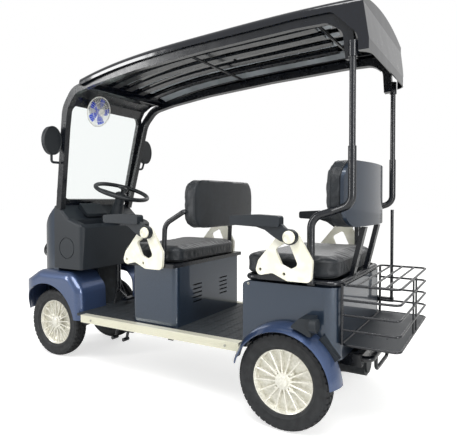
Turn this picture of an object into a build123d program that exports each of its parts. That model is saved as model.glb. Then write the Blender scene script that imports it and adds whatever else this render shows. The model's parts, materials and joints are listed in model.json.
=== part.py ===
from build123d import *
import math
import os

# Roofed four-wheel electric runabout with two bench seats and a wire basket.
# Millimetres. While it is modelled, X = 0 is the rear axle, Y = 0 the middle of the
# vehicle and Z = 0 the ground; +X is forward, +Y left, +Z up. Every piece is written
# MIDDLE_X further back, so that the origin lies below the middle of its length.

# ---- driving dimensions -------------------------------------------------------------
WHEELBASE = 1580.0
REAR_TRACK = 770.0            # between the middles of the tyres
FRONT_TRACK = 450.0
TYRE_R = 205.0
TYRE_WIDTH = 82.0
FRONT_END = 1850.0            # front face of the nose, ahead of the rear axle
REAR_END = -450.0             # rear face of the basket's wires
MIDDLE_X = (FRONT_END + REAR_END) / 2

FIT = 0.3                     # gap between pieces that lie beside each other
PIN_FIT = 0.1                 # radial gap of a turning pin

# Wheels
RIM_LIP_R = 141.0
RIM_BARREL_R = 131.0
RIM_HALF = 30.0               # half the rim's width, without its flanges
RIM_WALL = 6.0
SPOKES = 16
LUGS = 4
HUB_R = 29.0
HUB_CAP_R = 22.0
STUB_R = 9.0                  # stub axle that the hub turns on
STUB_DEPTH = 34.0

# Front axle and steering
KINGPIN_OFFSET = 50.0         # from the kingpin out to the middle of the tyre
KINGPIN_R = 8.0
FORK_HALF = 33.0              # half the height of the knuckle's fork
EYE_HALF = 20.0               # half the height of the beam's eye
EYE_R = 18.0
ARM_LENGTH = 90.0             # steering arm, from the kingpin back to its stud
ARM_THICK = 8.0
TIE_ROD_D = 14.0
BEAM = 36.0
STEERING_LOCK = 28.0          # degrees each way
STEERING_RATIO = 3.0          # steering wheel's turn for each degree of the wheels
WHEEL_TILT = 19.0             # steering wheel's axis, from the vertical
STEERING_WHEEL_X = 1270.0
STEERING_WHEEL_Z = 1000.0
STEERING_WHEEL_R = 160.0
STEERING_GRIP_R = 12.5

# Chassis and floor
FLOOR_TOP = 315.0
FLOOR_THICK = 10.0
RAIL_TOP = 302.0
RAIL_HEIGHT = 50.0
RAIL_WIDTH = 30.0
REAR_RAIL_Y = 200.0
FRONT_RAIL_Y = 50.0
RAIL_OVERHANG = 55.0          # rear rails' reach behind the body
SILL_HEIGHT = 40.0
SILL_DEPTH = 26.0
SILL_OUTER_Y = 372.0
SILL_REAR_X = 230.0
SILL_FRONT_X = 1227.0
WALL = 4.0                    # body panels

# Front seat
SEAT_X0 = 613.0
SEAT_X1 = 903.0
SEAT_HALF = 316.0
SEAT_TOP = 614.0
SEAT_CORNER_R = 30.0
CUSHION_X0 = 622.0
CUSHION_X1 = 1000.0
CUSHION_HALF = 292.0
CUSHION_TOP = 712.0
CUSHION_THICK = 78.0
LID_ANGLE = 70.0
HINGE_R = 6.0                 # knuckles of the cushion's hinges
HINGE_PIN_R = 2.5
HINGE_Y = 180.0
RING_H = 20.0                 # ring on the seat box
RING_FRONT = SEAT_X1 + 12
HINGE_X = RING_FRONT + HINGE_R + FIT
CUSHION_BOTTOM = SEAT_TOP + RING_H + FIT
HINGE_Z = CUSHION_BOTTOM - HINGE_R - 1
BATTERY_LENGTH = 230.0
BATTERY_WIDTH = 500.0
BATTERY_HEIGHT = 200.0
SEAT_TUBE_D = 25.0
SEAT_TUBE_Y = 322.0
BACK_BOTTOM = 810.0
BACK_TOP = 1052.0
BACK_HALF = 300.0
BACK_THICK = 68.0
BACK_X = 565.0

# Rear seat and body
BODY_X0 = -217.0
BODY_X1 = 219.0
BODY_HALF = 360.0
BODY_BOTTOM = 302.3
BODY_TOP = 598.0
BODY_CORNER_R = 70.0          # rear corners, seen from above
BODY_FRONT_CORNER_R = 10.0
BODY_TOP_CORNER_R = 32.0      # upper front edge, seen from the side
LOOP_D = 32.0
LOOP_X = -98.0
LOOP_Y = BODY_HALF - 10.0
POST_D = 25.0
POST_X = -272.0
POST_Y = BODY_HALF + 12.0
SLEEVE_TOP = 1160.0
POST_TOP = 1560.0
REAR_CUSHION_X0 = -190.0
REAR_CUSHION_X1 = 238.0
REAR_CUSHION_HALF = 318.0
REAR_CUSHION_TOP = 712.0
REAR_BACK_X = -262.0
REAR_BACK_BOTTOM = 835.0
REAR_BACK_TOP = 1120.0
REAR_BACK_HALF = 338.0
REAR_BACK_THICK = 62.0
BACK_SHELL_THICK = 14.0
BACK_BAR_Y = 118.0            # bars that carry the rear back pad
BACK_BAR_WIDTH = 40.0

# Armrests
BRACKET_THICK = 16.0
BRACKET_HOLE_D = 14.0
ARM_HUB_R = 32.0
ARM_HUB_THICK = 22.0
ARM_PAD_WIDTH = 46.0
ARM_RAISE = 85.0
FRONT_ARM_X = 757.0
FRONT_ARM_Y = 342.0           # inner face of the front brackets
FRONT_ARM_Z = 789.0
REAR_ARM_X = -26.0
REAR_ARM_Y = BODY_HALF + 8.5
REAR_ARM_Z = 800.0

# Fenders
FRONT_FENDER_HALF = 325.0
FRONT_FENDER_INNER = 120.0
FRONT_FENDER_REAR = 1285.0
FRONT_FENDER_TOP = 532.0
FRONT_FENDER_BOTTOM = 262.0
FRONT_ARCH_R = 246.0
NOSE_CORNER_R = 170.0         # corners of the front, seen from above
REAR_ARCH_R = 222.0
REAR_FENDER_OUTER = BODY_HALF + 92.0
REAR_FENDER_LIP_R = 214.0     # outer edge of the rear fender, from the axle
FENDER_RISE = 17.0            # rear fender's height over the arch, at the body
TAIL_LAMP = (-140.0, BODY_HALF + 70, 459.0)
TAIL_LAMP_R = 28.5
BAR_LAMP_ANGLE = 40.0         # degrees over the axle's height, behind it

# Console and windscreen
CONSOLE_X0 = 1289.0
CONSOLE_X1 = 1525.0
CONSOLE_HALF = 300.0
CONSOLE_BOTTOM = 548.0
CONSOLE_CORNER_R = 30.0       # corners beside the driver, seen from above
COWL_HALF = 270.0
COWL_FRONT = 1765.0
COWL_CORNER_R = 200.0
APRON_HALF = 119.7            # lower nose, between the fenders
SPEAKER_D = 125.0
SCREEN_LOW = (1500.0, 955.0)  # lower and upper edge of the windscreen opening, X and Z
SCREEN_HIGH = (1387.0, 1507.0)
SCREEN_LOW_HALF = 261.0
SCREEN_HIGH_HALF = 286.0
SCREEN_CORNER_R = 50.0
GLASS_THICK = 4.0
FRAME_BAND = 40.0             # width of the side frames, seen from the side
FRAME_THICK = 34.0

# Roof
ROOF_HALF = POST_Y + 10.0
ROOF_WALL = 5.0
ROOF_CROWN = 36.0
ROOF_SKIRT = 44.0
ROOF_REAR_SKIRT = 205.0
ROOF_REAR_X = -335.0
ROOF_FRONT_X = 1215.0
ROOF_EDGE = [(1215.0, 1616.0), (850.0, 1681.0), (420.0, 1711.0), (-30.0, 1729.0), (-420.0, 1724.0)]
ROOF_CORNER_R = 90.0
SLATS = 5
SLAT_WIDTH = 52.0
SLAT_PITCH = 112.0
CROSS_BAR_D = 14.0

# Basket
BASKET_HALF = 330.0
BASKET_TOP = 612.0
BASKET_BOTTOM = 372.0
BASKET_RAILS = 3
BASKET_BARS = 3
WIRE_D = 10.0
BASKET_CORNER_R = 26.0
UPRIGHT_D = 12.0
BASKET_X0 = BODY_X0 - WIRE_D / 2 - FIT
TRAY_THICK = 4.0
TRAY_HOLE_D = 8.5
TRAY_HOLE_PITCH_X = 60.0
TRAY_HOLE_PITCH_Y = 340.0


# ---- helpers ------------------------------------------------------------------------
def block(x0, x1, y0, y1, z0, z1):
    """A box between two corners."""
    return Pos((x0 + x1) / 2, (y0 + y1) / 2, (z0 + z1) / 2) * Box(x1 - x0, y1 - y0, z1 - z0)


def tube(points, diameter, bend=0.0, closed=False):
    """A round bar along straight runs, with bends of the given radius."""
    if len(points) == 2:
        path = Line(*points)
    else:
        path = FilletPolyline(*points, radius=bend, close=closed)
    start = Plane(origin=path @ 0, z_dir=path % 0)
    return sweep(start * Circle(diameter / 2), path=path)


def both_sides(piece):
    """The piece and its mirror image on the right of the vehicle."""
    return piece + mirror(piece, about=Plane.XZ)


def side_prism(outline, y0, y1):
    """A closed outline in X and Z, drawn out from y0 to y1."""
    face = Plane.XZ * make_face(outline)
    return Pos(0, y1, 0) * extrude(face, amount=y1 - y0)


def outline(*points, radius=0.0):
    """A closed polygon, its corners rounded where a radius is given."""
    if radius:
        return FilletPolyline(*points, radius=radius, close=True)
    return Polyline(*points, close=True)


def axle_drum(x, y0, y1, z, radius):
    """A round bar across the vehicle."""
    middle = Pos(x, (y0 + y1) / 2, z) * Rot(90, 0, 0)
    return middle * Cylinder(radius, abs(y1 - y0))


# ---- wheels -------------------------------------------------------------------------
def tyre():
    """Rounded road tyre about the Y axis, with its outer side at +Y."""
    bead = RIM_BARREL_R + FIT
    lip = RIM_LIP_R + FIT
    seat = RIM_HALF - 5 - FIT
    half = TYRE_WIDTH / 2
    shoulder_r = TYRE_R - 14
    right = Line((lip, seat), (lip, RIM_HALF))
    right_wall = ThreePointArc((lip, RIM_HALF), (TYRE_R - 40, half), (shoulder_r, half - 6))
    crown = ThreePointArc((shoulder_r, half - 6), (TYRE_R, 0), (shoulder_r, -half + 6))
    left_wall = ThreePointArc((shoulder_r, -half + 6), (TYRE_R - 40, -half), (lip, -RIM_HALF))
    foot = Polyline((lip, -RIM_HALF), (lip, -seat), (bead, -seat), (bead, seat), (lip, seat))
    return revolve(make_face([right, right_wall, crown, left_wall, foot]), Axis.Y)


def rim():
    """Spoked wheel about the Y axis: barrel, dished web, thin spokes, hub, cap and lugs."""
    inner = RIM_BARREL_R - RIM_WALL
    flange = RIM_HALF - 5
    barrel = Polyline(
        (inner, -RIM_HALF), (RIM_LIP_R, -RIM_HALF), (RIM_LIP_R, -flange), (RIM_BARREL_R, -flange),
        (RIM_BARREL_R, flange), (RIM_LIP_R, flange), (RIM_LIP_R, RIM_HALF + 1), (inner, RIM_HALF + 1),
        close=True)
    wheel = revolve(make_face(barrel), Axis.Y)
    web = Polyline((HUB_R - 3, -2), (inner + 2, 4), (inner + 2, 8), (HUB_R - 3, 2), close=True)
    wheel += revolve(make_face(web), Axis.Y)
    hub = Polyline(
        (0, -16), (HUB_R, -16), (HUB_R, 24), (HUB_CAP_R, 26), (HUB_CAP_R, 32), (HUB_CAP_R - 5, 35),
        (0, 35), close=True)
    wheel += revolve(make_face(hub), Axis.Y)
    reach = inner + 2 - (HUB_R - 3)
    spoke = Polyline((0, 18), (reach, 22), (reach, 29), (0, 25), close=True)
    for turn in range(SPOKES):
        bar = Pos(HUB_R - 3, 0, 0) * extrude(make_face(spoke), amount=3.2, both=True)
        wheel += Rot(0, 360 / SPOKES * turn, 0) * bar
    for turn in range(LUGS):
        lug = Rot(90, 0, 0) * Cylinder(7, 14)
        wheel += Rot(0, 360 / LUGS * turn, 0) * Pos(HUB_R + 15, 8, 0) * lug
    bore = STUB_DEPTH + 1
    wheel -= Pos(0, -16 + bore / 2, 0) * Rot(90, 0, 0) * Cylinder(STUB_R + PIN_FIT, bore)
    return wheel


def wheel_place(front, side):
    """Where a wheel's middle is; side is 1 on the left and -1 on the right."""
    x = WHEELBASE if front else 0.0
    track = FRONT_TRACK if front else REAR_TRACK
    return Pos(x, side * track / 2, TYRE_R)


def facing(piece, side):
    """Turn the outer side of a wheel's piece towards its own side of the vehicle."""
    return piece if side > 0 else mirror(piece, about=Plane.XZ)


# ---- front axle ---------------------------------------------------------------------
KINGPIN_Y = FRONT_TRACK / 2 - KINGPIN_OFFSET
STUD_X = WHEELBASE - ARM_LENGTH
ARM_Z = TYRE_R - FORK_HALF    # underside of the steering arms


def front_axle():
    """Beam with an eye for each kingpin, two spring units and two locating links."""
    reach = KINGPIN_Y - EYE_R + 4
    beam = block(WHEELBASE - BEAM / 2, WHEELBASE + BEAM / 2, -reach, reach,
                 TYRE_R - BEAM / 2, TYRE_R + BEAM / 2)
    for side in (1, -1):
        middle = Pos(WHEELBASE, side * KINGPIN_Y, TYRE_R)
        beam += middle * Cylinder(EYE_R, 2 * EYE_HALF)
        beam -= middle * Cylinder(KINGPIN_R + PIN_FIT, 2 * EYE_HALF + 2)
        beam += spring_unit(WHEELBASE, side * SPRING_Y, TYRE_R + BEAM / 2 - 2, FRONT_SPRING_TOP)
    return beam


SPRING_R = 24.0
SPRING_Y = 105.0
FRONT_SPRING_TOP = 420.0
REAR_SPRING_Y = 262.0
REAR_SPRING_TOP = 440.0


def spring_unit(x, y, z0, z1):
    """Damper in its coil spring: the coil is drawn as rings on a core."""
    unit = Pos(x, y, (z0 + z1) / 2) * Cylinder(SPRING_R - 8, z1 - z0)
    coils = 6
    pitch = (z1 - z0 - 30) / coils
    for turn in range(coils):
        ring = Pos(x, y, z0 + 15 + pitch * (turn + 0.5)) * Cylinder(SPRING_R, pitch * 0.45)
        unit += ring
    return unit


def knuckle(side):
    """Fork about the beam's eye, kingpin, stub axle, steering arm and its stud."""
    top = block(-20, 28, -22, 28, EYE_HALF + 0.5, FORK_HALF)
    bottom = block(-20, 28, -22, 28, -FORK_HALF, -EYE_HALF - 0.5)
    cheek = block(-20, 28, EYE_R + 2, 28, -FORK_HALF, FORK_HALF)
    piece = top + bottom + cheek + Cylinder(KINGPIN_R, 2 * FORK_HALF)
    shaft_end = KINGPIN_OFFSET - 16 + STUB_DEPTH
    piece += Pos(0, (27 + shaft_end) / 2, 0) * Rot(90, 0, 0) * Cylinder(STUB_R, shaft_end - 27)
    piece += Pos(0, 29.5, 0) * Rot(90, 0, 0) * Cylinder(STUB_R + 6, 5)
    piece += block(-ARM_LENGTH, -10, -11, 11, -FORK_HALF, -FORK_HALF + ARM_THICK)
    piece += Pos(-ARM_LENGTH, 0, -FORK_HALF + ARM_THICK / 2) * Cylinder(13, ARM_THICK)
    stud = TIE_ROD_D + 2 * FIT + 2
    piece += Pos(-ARM_LENGTH, 0, -FORK_HALF - stud / 2) * Cylinder(5, stud)
    return Pos(WHEELBASE, side * KINGPIN_Y, TYRE_R) * facing(piece, side)


def tie_rod():
    """Rod below the steering arms, with an eye on each stud."""
    z = ARM_Z - FIT - TIE_ROD_D / 2
    rod = axle_drum(STUD_X, -KINGPIN_Y + 8, KINGPIN_Y - 8, z, TIE_ROD_D / 2 - 1)
    for side in (1, -1):
        rod += Pos(STUD_X, side * KINGPIN_Y, z) * Cylinder(12, TIE_ROD_D)
    for side in (1, -1):
        rod -= Pos(STUD_X, side * KINGPIN_Y, z) * Cylinder(5 + PIN_FIT, TIE_ROD_D + 2)
    return rod


def steering_place():
    """Middle of the steering wheel, with Z along its axis, up and back to the driver."""
    return Pos(STEERING_WHEEL_X, 0, STEERING_WHEEL_Z) * Rot(0, -WHEEL_TILT, 0)


def steering_wheel():
    """Rim, three spokes, hub with a domed cover and key, and the shaft below."""
    grip = Torus(STEERING_WHEEL_R, STEERING_GRIP_R)
    hub = Pos(0, 0, -22) * Cylinder(34, 22) + Pos(0, 0, -8) * Cone(34, 22, 8)
    for turn in (90, 210, 330):
        spoke = Polyline((25, -26), (STEERING_WHEEL_R - 4, -6), (STEERING_WHEEL_R - 4, 2), (25, -16), close=True)
        arm = extrude(Plane.XZ * make_face(spoke), amount=11, both=True)
        hub += Rot(0, 0, turn + 90) * arm
    key = Pos(0, 0, 4) * Cylinder(7, 18) + Pos(0, 0, 16) * Box(22, 4, 14)
    shaft = Pos(0, 0, -62) * Cylinder(SHAFT_R, 60)
    return steering_place() * (grip + hub + key + shaft)


SHAFT_R = 11.0
COLUMN_R = 30.0
COLUMN_TOP = -40.0
COLUMN_LENGTH = 260.0


def steering_column(console):
    """Column from the console up to the steering wheel, bored for the shaft."""
    column = Pos(0, 0, COLUMN_TOP - COLUMN_LENGTH / 2) * Cylinder(COLUMN_R, COLUMN_LENGTH)
    shroud = Pos(0, 0, COLUMN_TOP - 95) * Cone(46, 34, 110)
    column += shroud
    column -= Pos(0, 0, COLUMN_TOP - 30) * Cylinder(SHAFT_R + PIN_FIT, 70)
    placed = steering_place() * column
    placed -= console
    solids = sorted(placed.solids(), key=lambda s: s.volume)
    return Part() + solids[-1]


# ---- rear axle ----------------------------------------------------------------------
def rear_axle():
    """Axle tube, differential, motor behind it, brake plates, shafts and spring units."""
    hub_face = REAR_TRACK / 2 - 16
    axle = axle_drum(0, -hub_face + 22, hub_face - 22, TYRE_R, 24)
    axle += axle_drum(0, -70, 62, TYRE_R, 76)
    axle += Pos(-135, -6, TYRE_R) * Rot(0, 90, 0) * Cylinder(62, 210)
    axle += Pos(-243, -6, TYRE_R) * Rot(0, 90, 0) * Cylinder(48, 12)
    for side in (1, -1):
        plate_in = side * (hub_face - 24)
        axle += axle_drum(0, plate_in, plate_in + side * 14, TYRE_R, 88)
        axle += axle_drum(0, plate_in, side * (hub_face + STUB_DEPTH), TYRE_R, STUB_R)
        axle += spring_unit(0, side * REAR_SPRING_Y, TYRE_R + 20, REAR_SPRING_TOP)
    return axle


# ---- chassis ------------------------------------------------------------------------
def chassis_frame():
    """Two rear rails, two close front rails, cross members and the spring mounts."""
    low = RAIL_TOP - RAIL_HEIGHT
    half = RAIL_WIDTH / 2
    rail = block(BODY_X0 - RAIL_OVERHANG, 1240, REAR_RAIL_Y - half, REAR_RAIL_Y + half, low, RAIL_TOP)
    front = block(1180, FRONT_END - 50 - FIT, FRONT_RAIL_Y - half, FRONT_RAIL_Y + half, low, RAIL_TOP)
    frame = both_sides(rail + front)
    for x in (BODY_X0 - 40, 120, SEAT_X0 + 15, SEAT_X1 - 15, 1225):
        reach = SILL_OUTER_Y - SILL_DEPTH - FIT
        if x < BODY_X1:
            reach = REAR_RAIL_Y + half
        frame += block(x - half, x + half, -reach, reach, low + 10, RAIL_TOP)
    frame += block(FRONT_END - 80, FRONT_END - 50 - FIT, -70, 70, low, RAIL_TOP)
    tower = block(WHEELBASE - half, WHEELBASE + half, FRONT_RAIL_Y - 8, FRONT_RAIL_Y + 8, RAIL_TOP - 5, 440)
    frame += both_sides(tower)
    reach = SPRING_Y + SPRING_R
    frame += block(WHEELBASE - half, WHEELBASE + half, -reach, reach, FRONT_SPRING_TOP + FIT, 440)
    post = block(-half, half, REAR_RAIL_Y - 8, REAR_RAIL_Y + 8, RAIL_TOP - 5, REAR_SPRING_TOP + 22)
    frame += both_sides(post)
    reach = REAR_SPRING_Y + SPRING_R
    frame += block(-half, half, -reach, reach, REAR_SPRING_TOP + FIT, REAR_SPRING_TOP + 22)
    return frame


TOE_X = 1335.0
TOE_TOP_X = 1392.0
DECK_HALF = SILL_OUTER_Y - SILL_DEPTH - FIT


def floor_deck():
    """Folded floor: flat deck between the sills, rising as a toe board at the front."""
    under = RAIL_TOP + FIT
    deck = block(BODY_X1 + FIT, FRONT_FENDER_REAR - FIT, -DECK_HALF, DECK_HALF, under, FLOOR_TOP)
    board = outline((FRONT_FENDER_REAR - 5, under), (TOE_X + 5, under), (TOE_TOP_X + 5, CONSOLE_BOTTOM - FIT),
                    (TOE_TOP_X - 5, CONSOLE_BOTTOM - FIT), (TOE_X - 5, FLOOR_TOP), (FRONT_FENDER_REAR - 5, FLOOR_TOP))
    half = FRONT_FENDER_INNER - 34
    return deck + side_prism(board, -half, half)


def side_sills():
    """Grooved aluminium sill along each side of the floor."""
    inner = SILL_OUTER_Y - SILL_DEPTH
    top = FLOOR_TOP + 3
    low = top - SILL_HEIGHT
    sill = block(SILL_REAR_X, SILL_FRONT_X, inner, SILL_OUTER_Y, low, top)
    sill += block(SILL_REAR_X, SILL_FRONT_X, inner - 14, inner + 1, FLOOR_TOP + FIT, top)
    grooves = 4
    for row in range(grooves):
        z = low + SILL_HEIGHT * (row + 1) / (grooves + 1)
        sill -= block(SILL_REAR_X - 1, SILL_FRONT_X + 1, SILL_OUTER_Y - 2, SILL_OUTER_Y + 1, z - 1.5, z + 1.5)
    return both_sides(sill)


# ---- front body ---------------------------------------------------------------------
def front_plan(front, half, corner, inset=0.0):
    """Upright prism over a rounded plan of the nose, each face moved inwards by inset."""
    length = 900.0
    plan = RectangleRounded(length, 2 * (half - inset), corner - inset)
    return Pos(front - inset - length / 2, 0, 0) * extrude(plan, amount=1200)


def fender_block(inset):
    """Left front fender as a solid, each face moved inwards by inset."""
    rear = FRONT_FENDER_REAR + inset
    front = FRONT_END - inset
    top = FRONT_FENDER_TOP - inset
    low = FRONT_FENDER_BOTTOM
    side = FilletPolyline(
        (rear, low), (rear + 10, 440), (rear + 95, top), (WHEELBASE + 70, top), (front - 20, 430), (front, low),
        radius=(70, 90, 120, 60), close=False)
    face = make_face([side, Line(side @ 1, side @ 0)])
    solid = Pos(0, FRONT_FENDER_HALF - inset, 0) * extrude(
        Plane.XZ * face, amount=FRONT_FENDER_HALF - FRONT_FENDER_INNER - inset)
    ridge = [e for e in solid.edges() if abs(e.center().Y - (FRONT_FENDER_HALF - inset)) < 1
             and e.center().Z > low + 5]
    return fillet(ridge, 45 - inset) & front_plan(FRONT_END, FRONT_FENDER_HALF, NOSE_CORNER_R, inset)


def front_fender(side):
    """Pressed fender over a front wheel, open below and towards the middle."""
    shell = fender_block(0)
    hollow = fender_block(WALL)
    shell -= Pos(0, -2 * WALL, 0) * hollow
    shell -= hollow
    shell -= Pos(0, 0, -20) * hollow
    arch = axle_drum(WHEELBASE, FRONT_TRACK / 2 + 20, FRONT_FENDER_HALF + 10, TYRE_R, FRONT_ARCH_R)
    shell -= arch
    shell -= block(WHEELBASE - FRONT_ARCH_R, WHEELBASE + FRONT_ARCH_R, FRONT_TRACK / 2 + 20,
                   FRONT_FENDER_HALF + 10, 0, TYRE_R)
    lip_out = axle_drum(WHEELBASE, FRONT_FENDER_HALF - 14, FRONT_FENDER_HALF, TYRE_R, FRONT_ARCH_R + 5)
    lip = lip_out - axle_drum(WHEELBASE, FRONT_FENDER_HALF - 16, FRONT_FENDER_HALF + 2, TYRE_R, FRONT_ARCH_R)
    lip -= block(WHEELBASE - 300, WHEELBASE + 300, 200, 400, -100, FRONT_FENDER_BOTTOM)
    shell += lip & front_plan(FRONT_END, FRONT_FENDER_HALF, NOSE_CORNER_R)
    return facing(shell, side)


def nose_prism(line, low, half):
    """Part of the nose under a curved front line, closed by the points in low."""
    face = Plane.XZ * make_face([line, Polyline(line @ 1, *low, line @ 0)])
    return Pos(0, half, 0) * extrude(face, amount=2 * half)


def front_cowl():
    """Nose panel over the steering gear, with an apron between the fenders below it."""
    rear = CONSOLE_X1 + FIT
    top = SCREEN_LOW[1] - 24
    foot = 455
    line = Spline((rear + 1, top), (1600, 872), (1690, 780), (1752, 650), (COWL_FRONT, 520))
    nose = nose_prism(line, [(COWL_FRONT, foot), (rear, foot), (rear, top)], COWL_HALF)
    nose &= front_plan(COWL_FRONT, COWL_HALF, COWL_CORNER_R)
    line = ThreePointArc((COWL_FRONT - 30, 545), (FRONT_END - 28, 430), (FRONT_END, 300))
    low = [(FRONT_END - 40, 240), (1800, 240), (1800, foot), (COWL_FRONT - 60, foot), (COWL_FRONT - 60, 545)]
    nose += nose_prism(line, low, APRON_HALF)
    for side in (1, -1):
        nose -= facing(fender_block(-FIT), side)
        nose -= headlamp_place(side) * Pos(0, 0, 6) * Cylinder(HEADLAMP_R + FIT, 60)
    return nose


HEADLAMP_R = 62.0


def headlamp_place(side):
    """Middle of a headlamp's glass, with Z pointing forward and a little up."""
    return Pos(1722, side * 150, 640) * Rot(0, 70, 0)


def headlamps():
    """Round lamp on each side of the nose, with a domed glass and a bezel."""
    lamp = Pos(0, 0, -6) * Cylinder(HEADLAMP_R, 34) + Pos(0, 0, 14) * Cone(HEADLAMP_R, HEADLAMP_R - 22, 8)
    return headlamp_place(1) * lamp + headlamp_place(-1) * lamp


def console_block():
    """Console without its pockets."""
    side = outline((CONSOLE_X0 + 8, CONSOLE_BOTTOM), (CONSOLE_X0, 790), (CONSOLE_X0 + 26, 812),
                   (CONSOLE_X0 + 120, 842), (CONSOLE_X1 - 30, 918), (CONSOLE_X1, 918), (CONSOLE_X1, CONSOLE_BOTTOM))
    body = side_prism(side, -CONSOLE_HALF, CONSOLE_HALF)
    edge = [e for e in body.edges() if abs(abs(e.center().Y) - CONSOLE_HALF) < 1 and e.center().X < CONSOLE_X1 - 5
            and e.center().Z > CONSOLE_BOTTOM + 5]
    length = 2 * (CONSOLE_X1 - CONSOLE_X0)
    plan = Pos(CONSOLE_X0 + length / 2, 0, 0) * RectangleRounded(length, 2 * CONSOLE_HALF, CONSOLE_CORNER_R)
    return fillet(edge, 16) & extrude(plan, amount=1200)


def dash_console(body):
    """Console with a glove pocket on each side of the column and a round speaker in each end."""
    for side in (1, -1):
        y0, y1 = sorted((side * 75, side * 262))
        body -= block(CONSOLE_X0 + 24, CONSOLE_X0 + 92, y0, y1, 700, 900)
        ring = axle_drum(1420, side * (CONSOLE_HALF - 5), side * (CONSOLE_HALF + 1), 669, SPEAKER_D / 2)
        body -= ring - axle_drum(1420, side * (CONSOLE_HALF - 6), side * (CONSOLE_HALF + 2), 669, SPEAKER_D / 2 - 4)
    return body


def instrument_display():
    """Tilted instrument housing on top of the console, ahead of the steering wheel."""
    side = outline((-46, 0), (-40, 16), (40, 40), (52, 40), (52, 0))
    housing = side_prism(side, -82, 82)
    housing = Pos(DISPLAY_X, DISPLAY_Y, 0) * Pos(0, 0, DISPLAY_Z) * Rot(0, -27, 0) * housing
    return housing


DISPLAY_X = 1434.0
DISPLAY_Y = 84.0
DISPLAY_Z = 870.0


def pedals():
    """Pedal stand under the console, brake and throttle pedals, and the pull levers below the floor."""
    stand = tube([(CONSOLE_X0 + 12, 0, CONSOLE_BOTTOM - FIT), (CONSOLE_X0 + 12, 0, FLOOR_TOP + 60)], 28)
    for side in (1, -1):
        stand += tube([(CONSOLE_X0 + 12, 0, FLOOR_TOP + 150), (CONSOLE_X0 - 10, side * 55, FLOOR_TOP + FIT)], 12)
    stand += tube([(CONSOLE_X0 + 12, 0, FLOOR_TOP + 80), (CONSOLE_X0 - 60, 0, FLOOR_TOP + 30)], 14)
    stand += block(CONSOLE_X0 - 95, CONSOLE_X0 - 50, -42, 42, FLOOR_TOP + 22, FLOOR_TOP + 36)
    bracket = block(1000, 1110, 212, 236, RAIL_TOP - RAIL_HEIGHT - 26, RAIL_TOP - RAIL_HEIGHT - FIT)
    for x in (1012, 1092):
        bracket += tube([(x, 224, RAIL_TOP - RAIL_HEIGHT - 16), (x + 6, 232, 190)], 16)
        bracket += tube([(x + 6, 222, 182), (x + 6, 262, 182)], 20)
    return stand + bracket


# ---- windscreen and side frames -----------------------------------------------------
SCREEN_DX = SCREEN_HIGH[0] - SCREEN_LOW[0]
SCREEN_DZ = SCREEN_HIGH[1] - SCREEN_LOW[1]
SCREEN_LENGTH = math.hypot(SCREEN_DX, SCREEN_DZ)
SCREEN_PLANE = Plane(origin=(SCREEN_LOW[0], 0, SCREEN_LOW[1]), x_dir=(0, 1, 0),
                     z_dir=(SCREEN_DZ / SCREEN_LENGTH, 0, -SCREEN_DX / SCREEN_LENGTH))
PILLAR_FOOT_Y = 288.0
RAIL_Y = 352.0
SIDE_LEAN = math.degrees(math.atan((RAIL_Y - PILLAR_FOOT_Y) / 760.0))


def screen_shape(grow):
    """The windscreen opening in its own plane, each side moved out by grow."""
    low = SCREEN_LOW_HALF + grow
    high = SCREEN_HIGH_HALF + grow
    return make_face(FilletPolyline(
        (-low, -grow), (low, -grow), (high, SCREEN_LENGTH + grow), (-high, SCREEN_LENGTH + grow),
        radius=SCREEN_CORNER_R + grow, close=True))


def side_frame():
    """Left pillar, roof rail and rear corner as one bent band, leaning out towards the top."""
    plane = Plane(origin=(0, PILLAR_FOOT_Y, 930), x_dir=(1, 0, 0),
                  z_dir=(0, -math.cos(math.radians(SIDE_LEAN)), math.sin(math.radians(SIDE_LEAN))))
    middle = FilletPolyline(
        (1486, -30), (1370, 540), (1290, 632), (1130, 664), (850, 698), (420, 728), (-30, 746), (-180, 744),
        (-248, 690), (-257, 574), radius=(140, 120, 300, 900, 900, 900, 90, 60))
    return extrude(plane * trace(middle, FRAME_BAND), amount=FRAME_THICK / 2, both=True)


def canopy_frame():
    """Side frames, windscreen surround, lower bar and the curved header behind the roof's edge."""
    frame = both_sides(side_frame())
    surround = screen_shape(34) - screen_shape(0)
    frame += extrude(SCREEN_PLANE * surround, amount=12, both=True)
    header = side_prism(outline((1386, 1500), (1352, 1552), (1290, 1588), (1212, 1598), (1212, 1584), (1284, 1574),
                                (1342, 1542), (1372, 1494)), -300, 300)
    frame += header
    socket = Pos(POST_X, POST_Y, 1530) * (Cylinder(POST_D / 2 + 5, 60) - Cylinder(POST_D / 2 + PIN_FIT, 62))
    core = Pos(POST_X, POST_Y, 1530) * Cylinder(POST_D / 2 + PIN_FIT, 62)
    return frame + both_sides(socket) - both_sides(core)


def windshield_glass():
    """Clear pane in the windscreen opening."""
    return extrude(SCREEN_PLANE * screen_shape(-FIT), amount=GLASS_THICK / 2, both=True)


# ---- roof ---------------------------------------------------------------------------
def roof_line():
    """Line of the roof's side edge, from front to back."""
    return Spline(*[(x, 0, z) for x, z in ROOF_EDGE])


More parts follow.
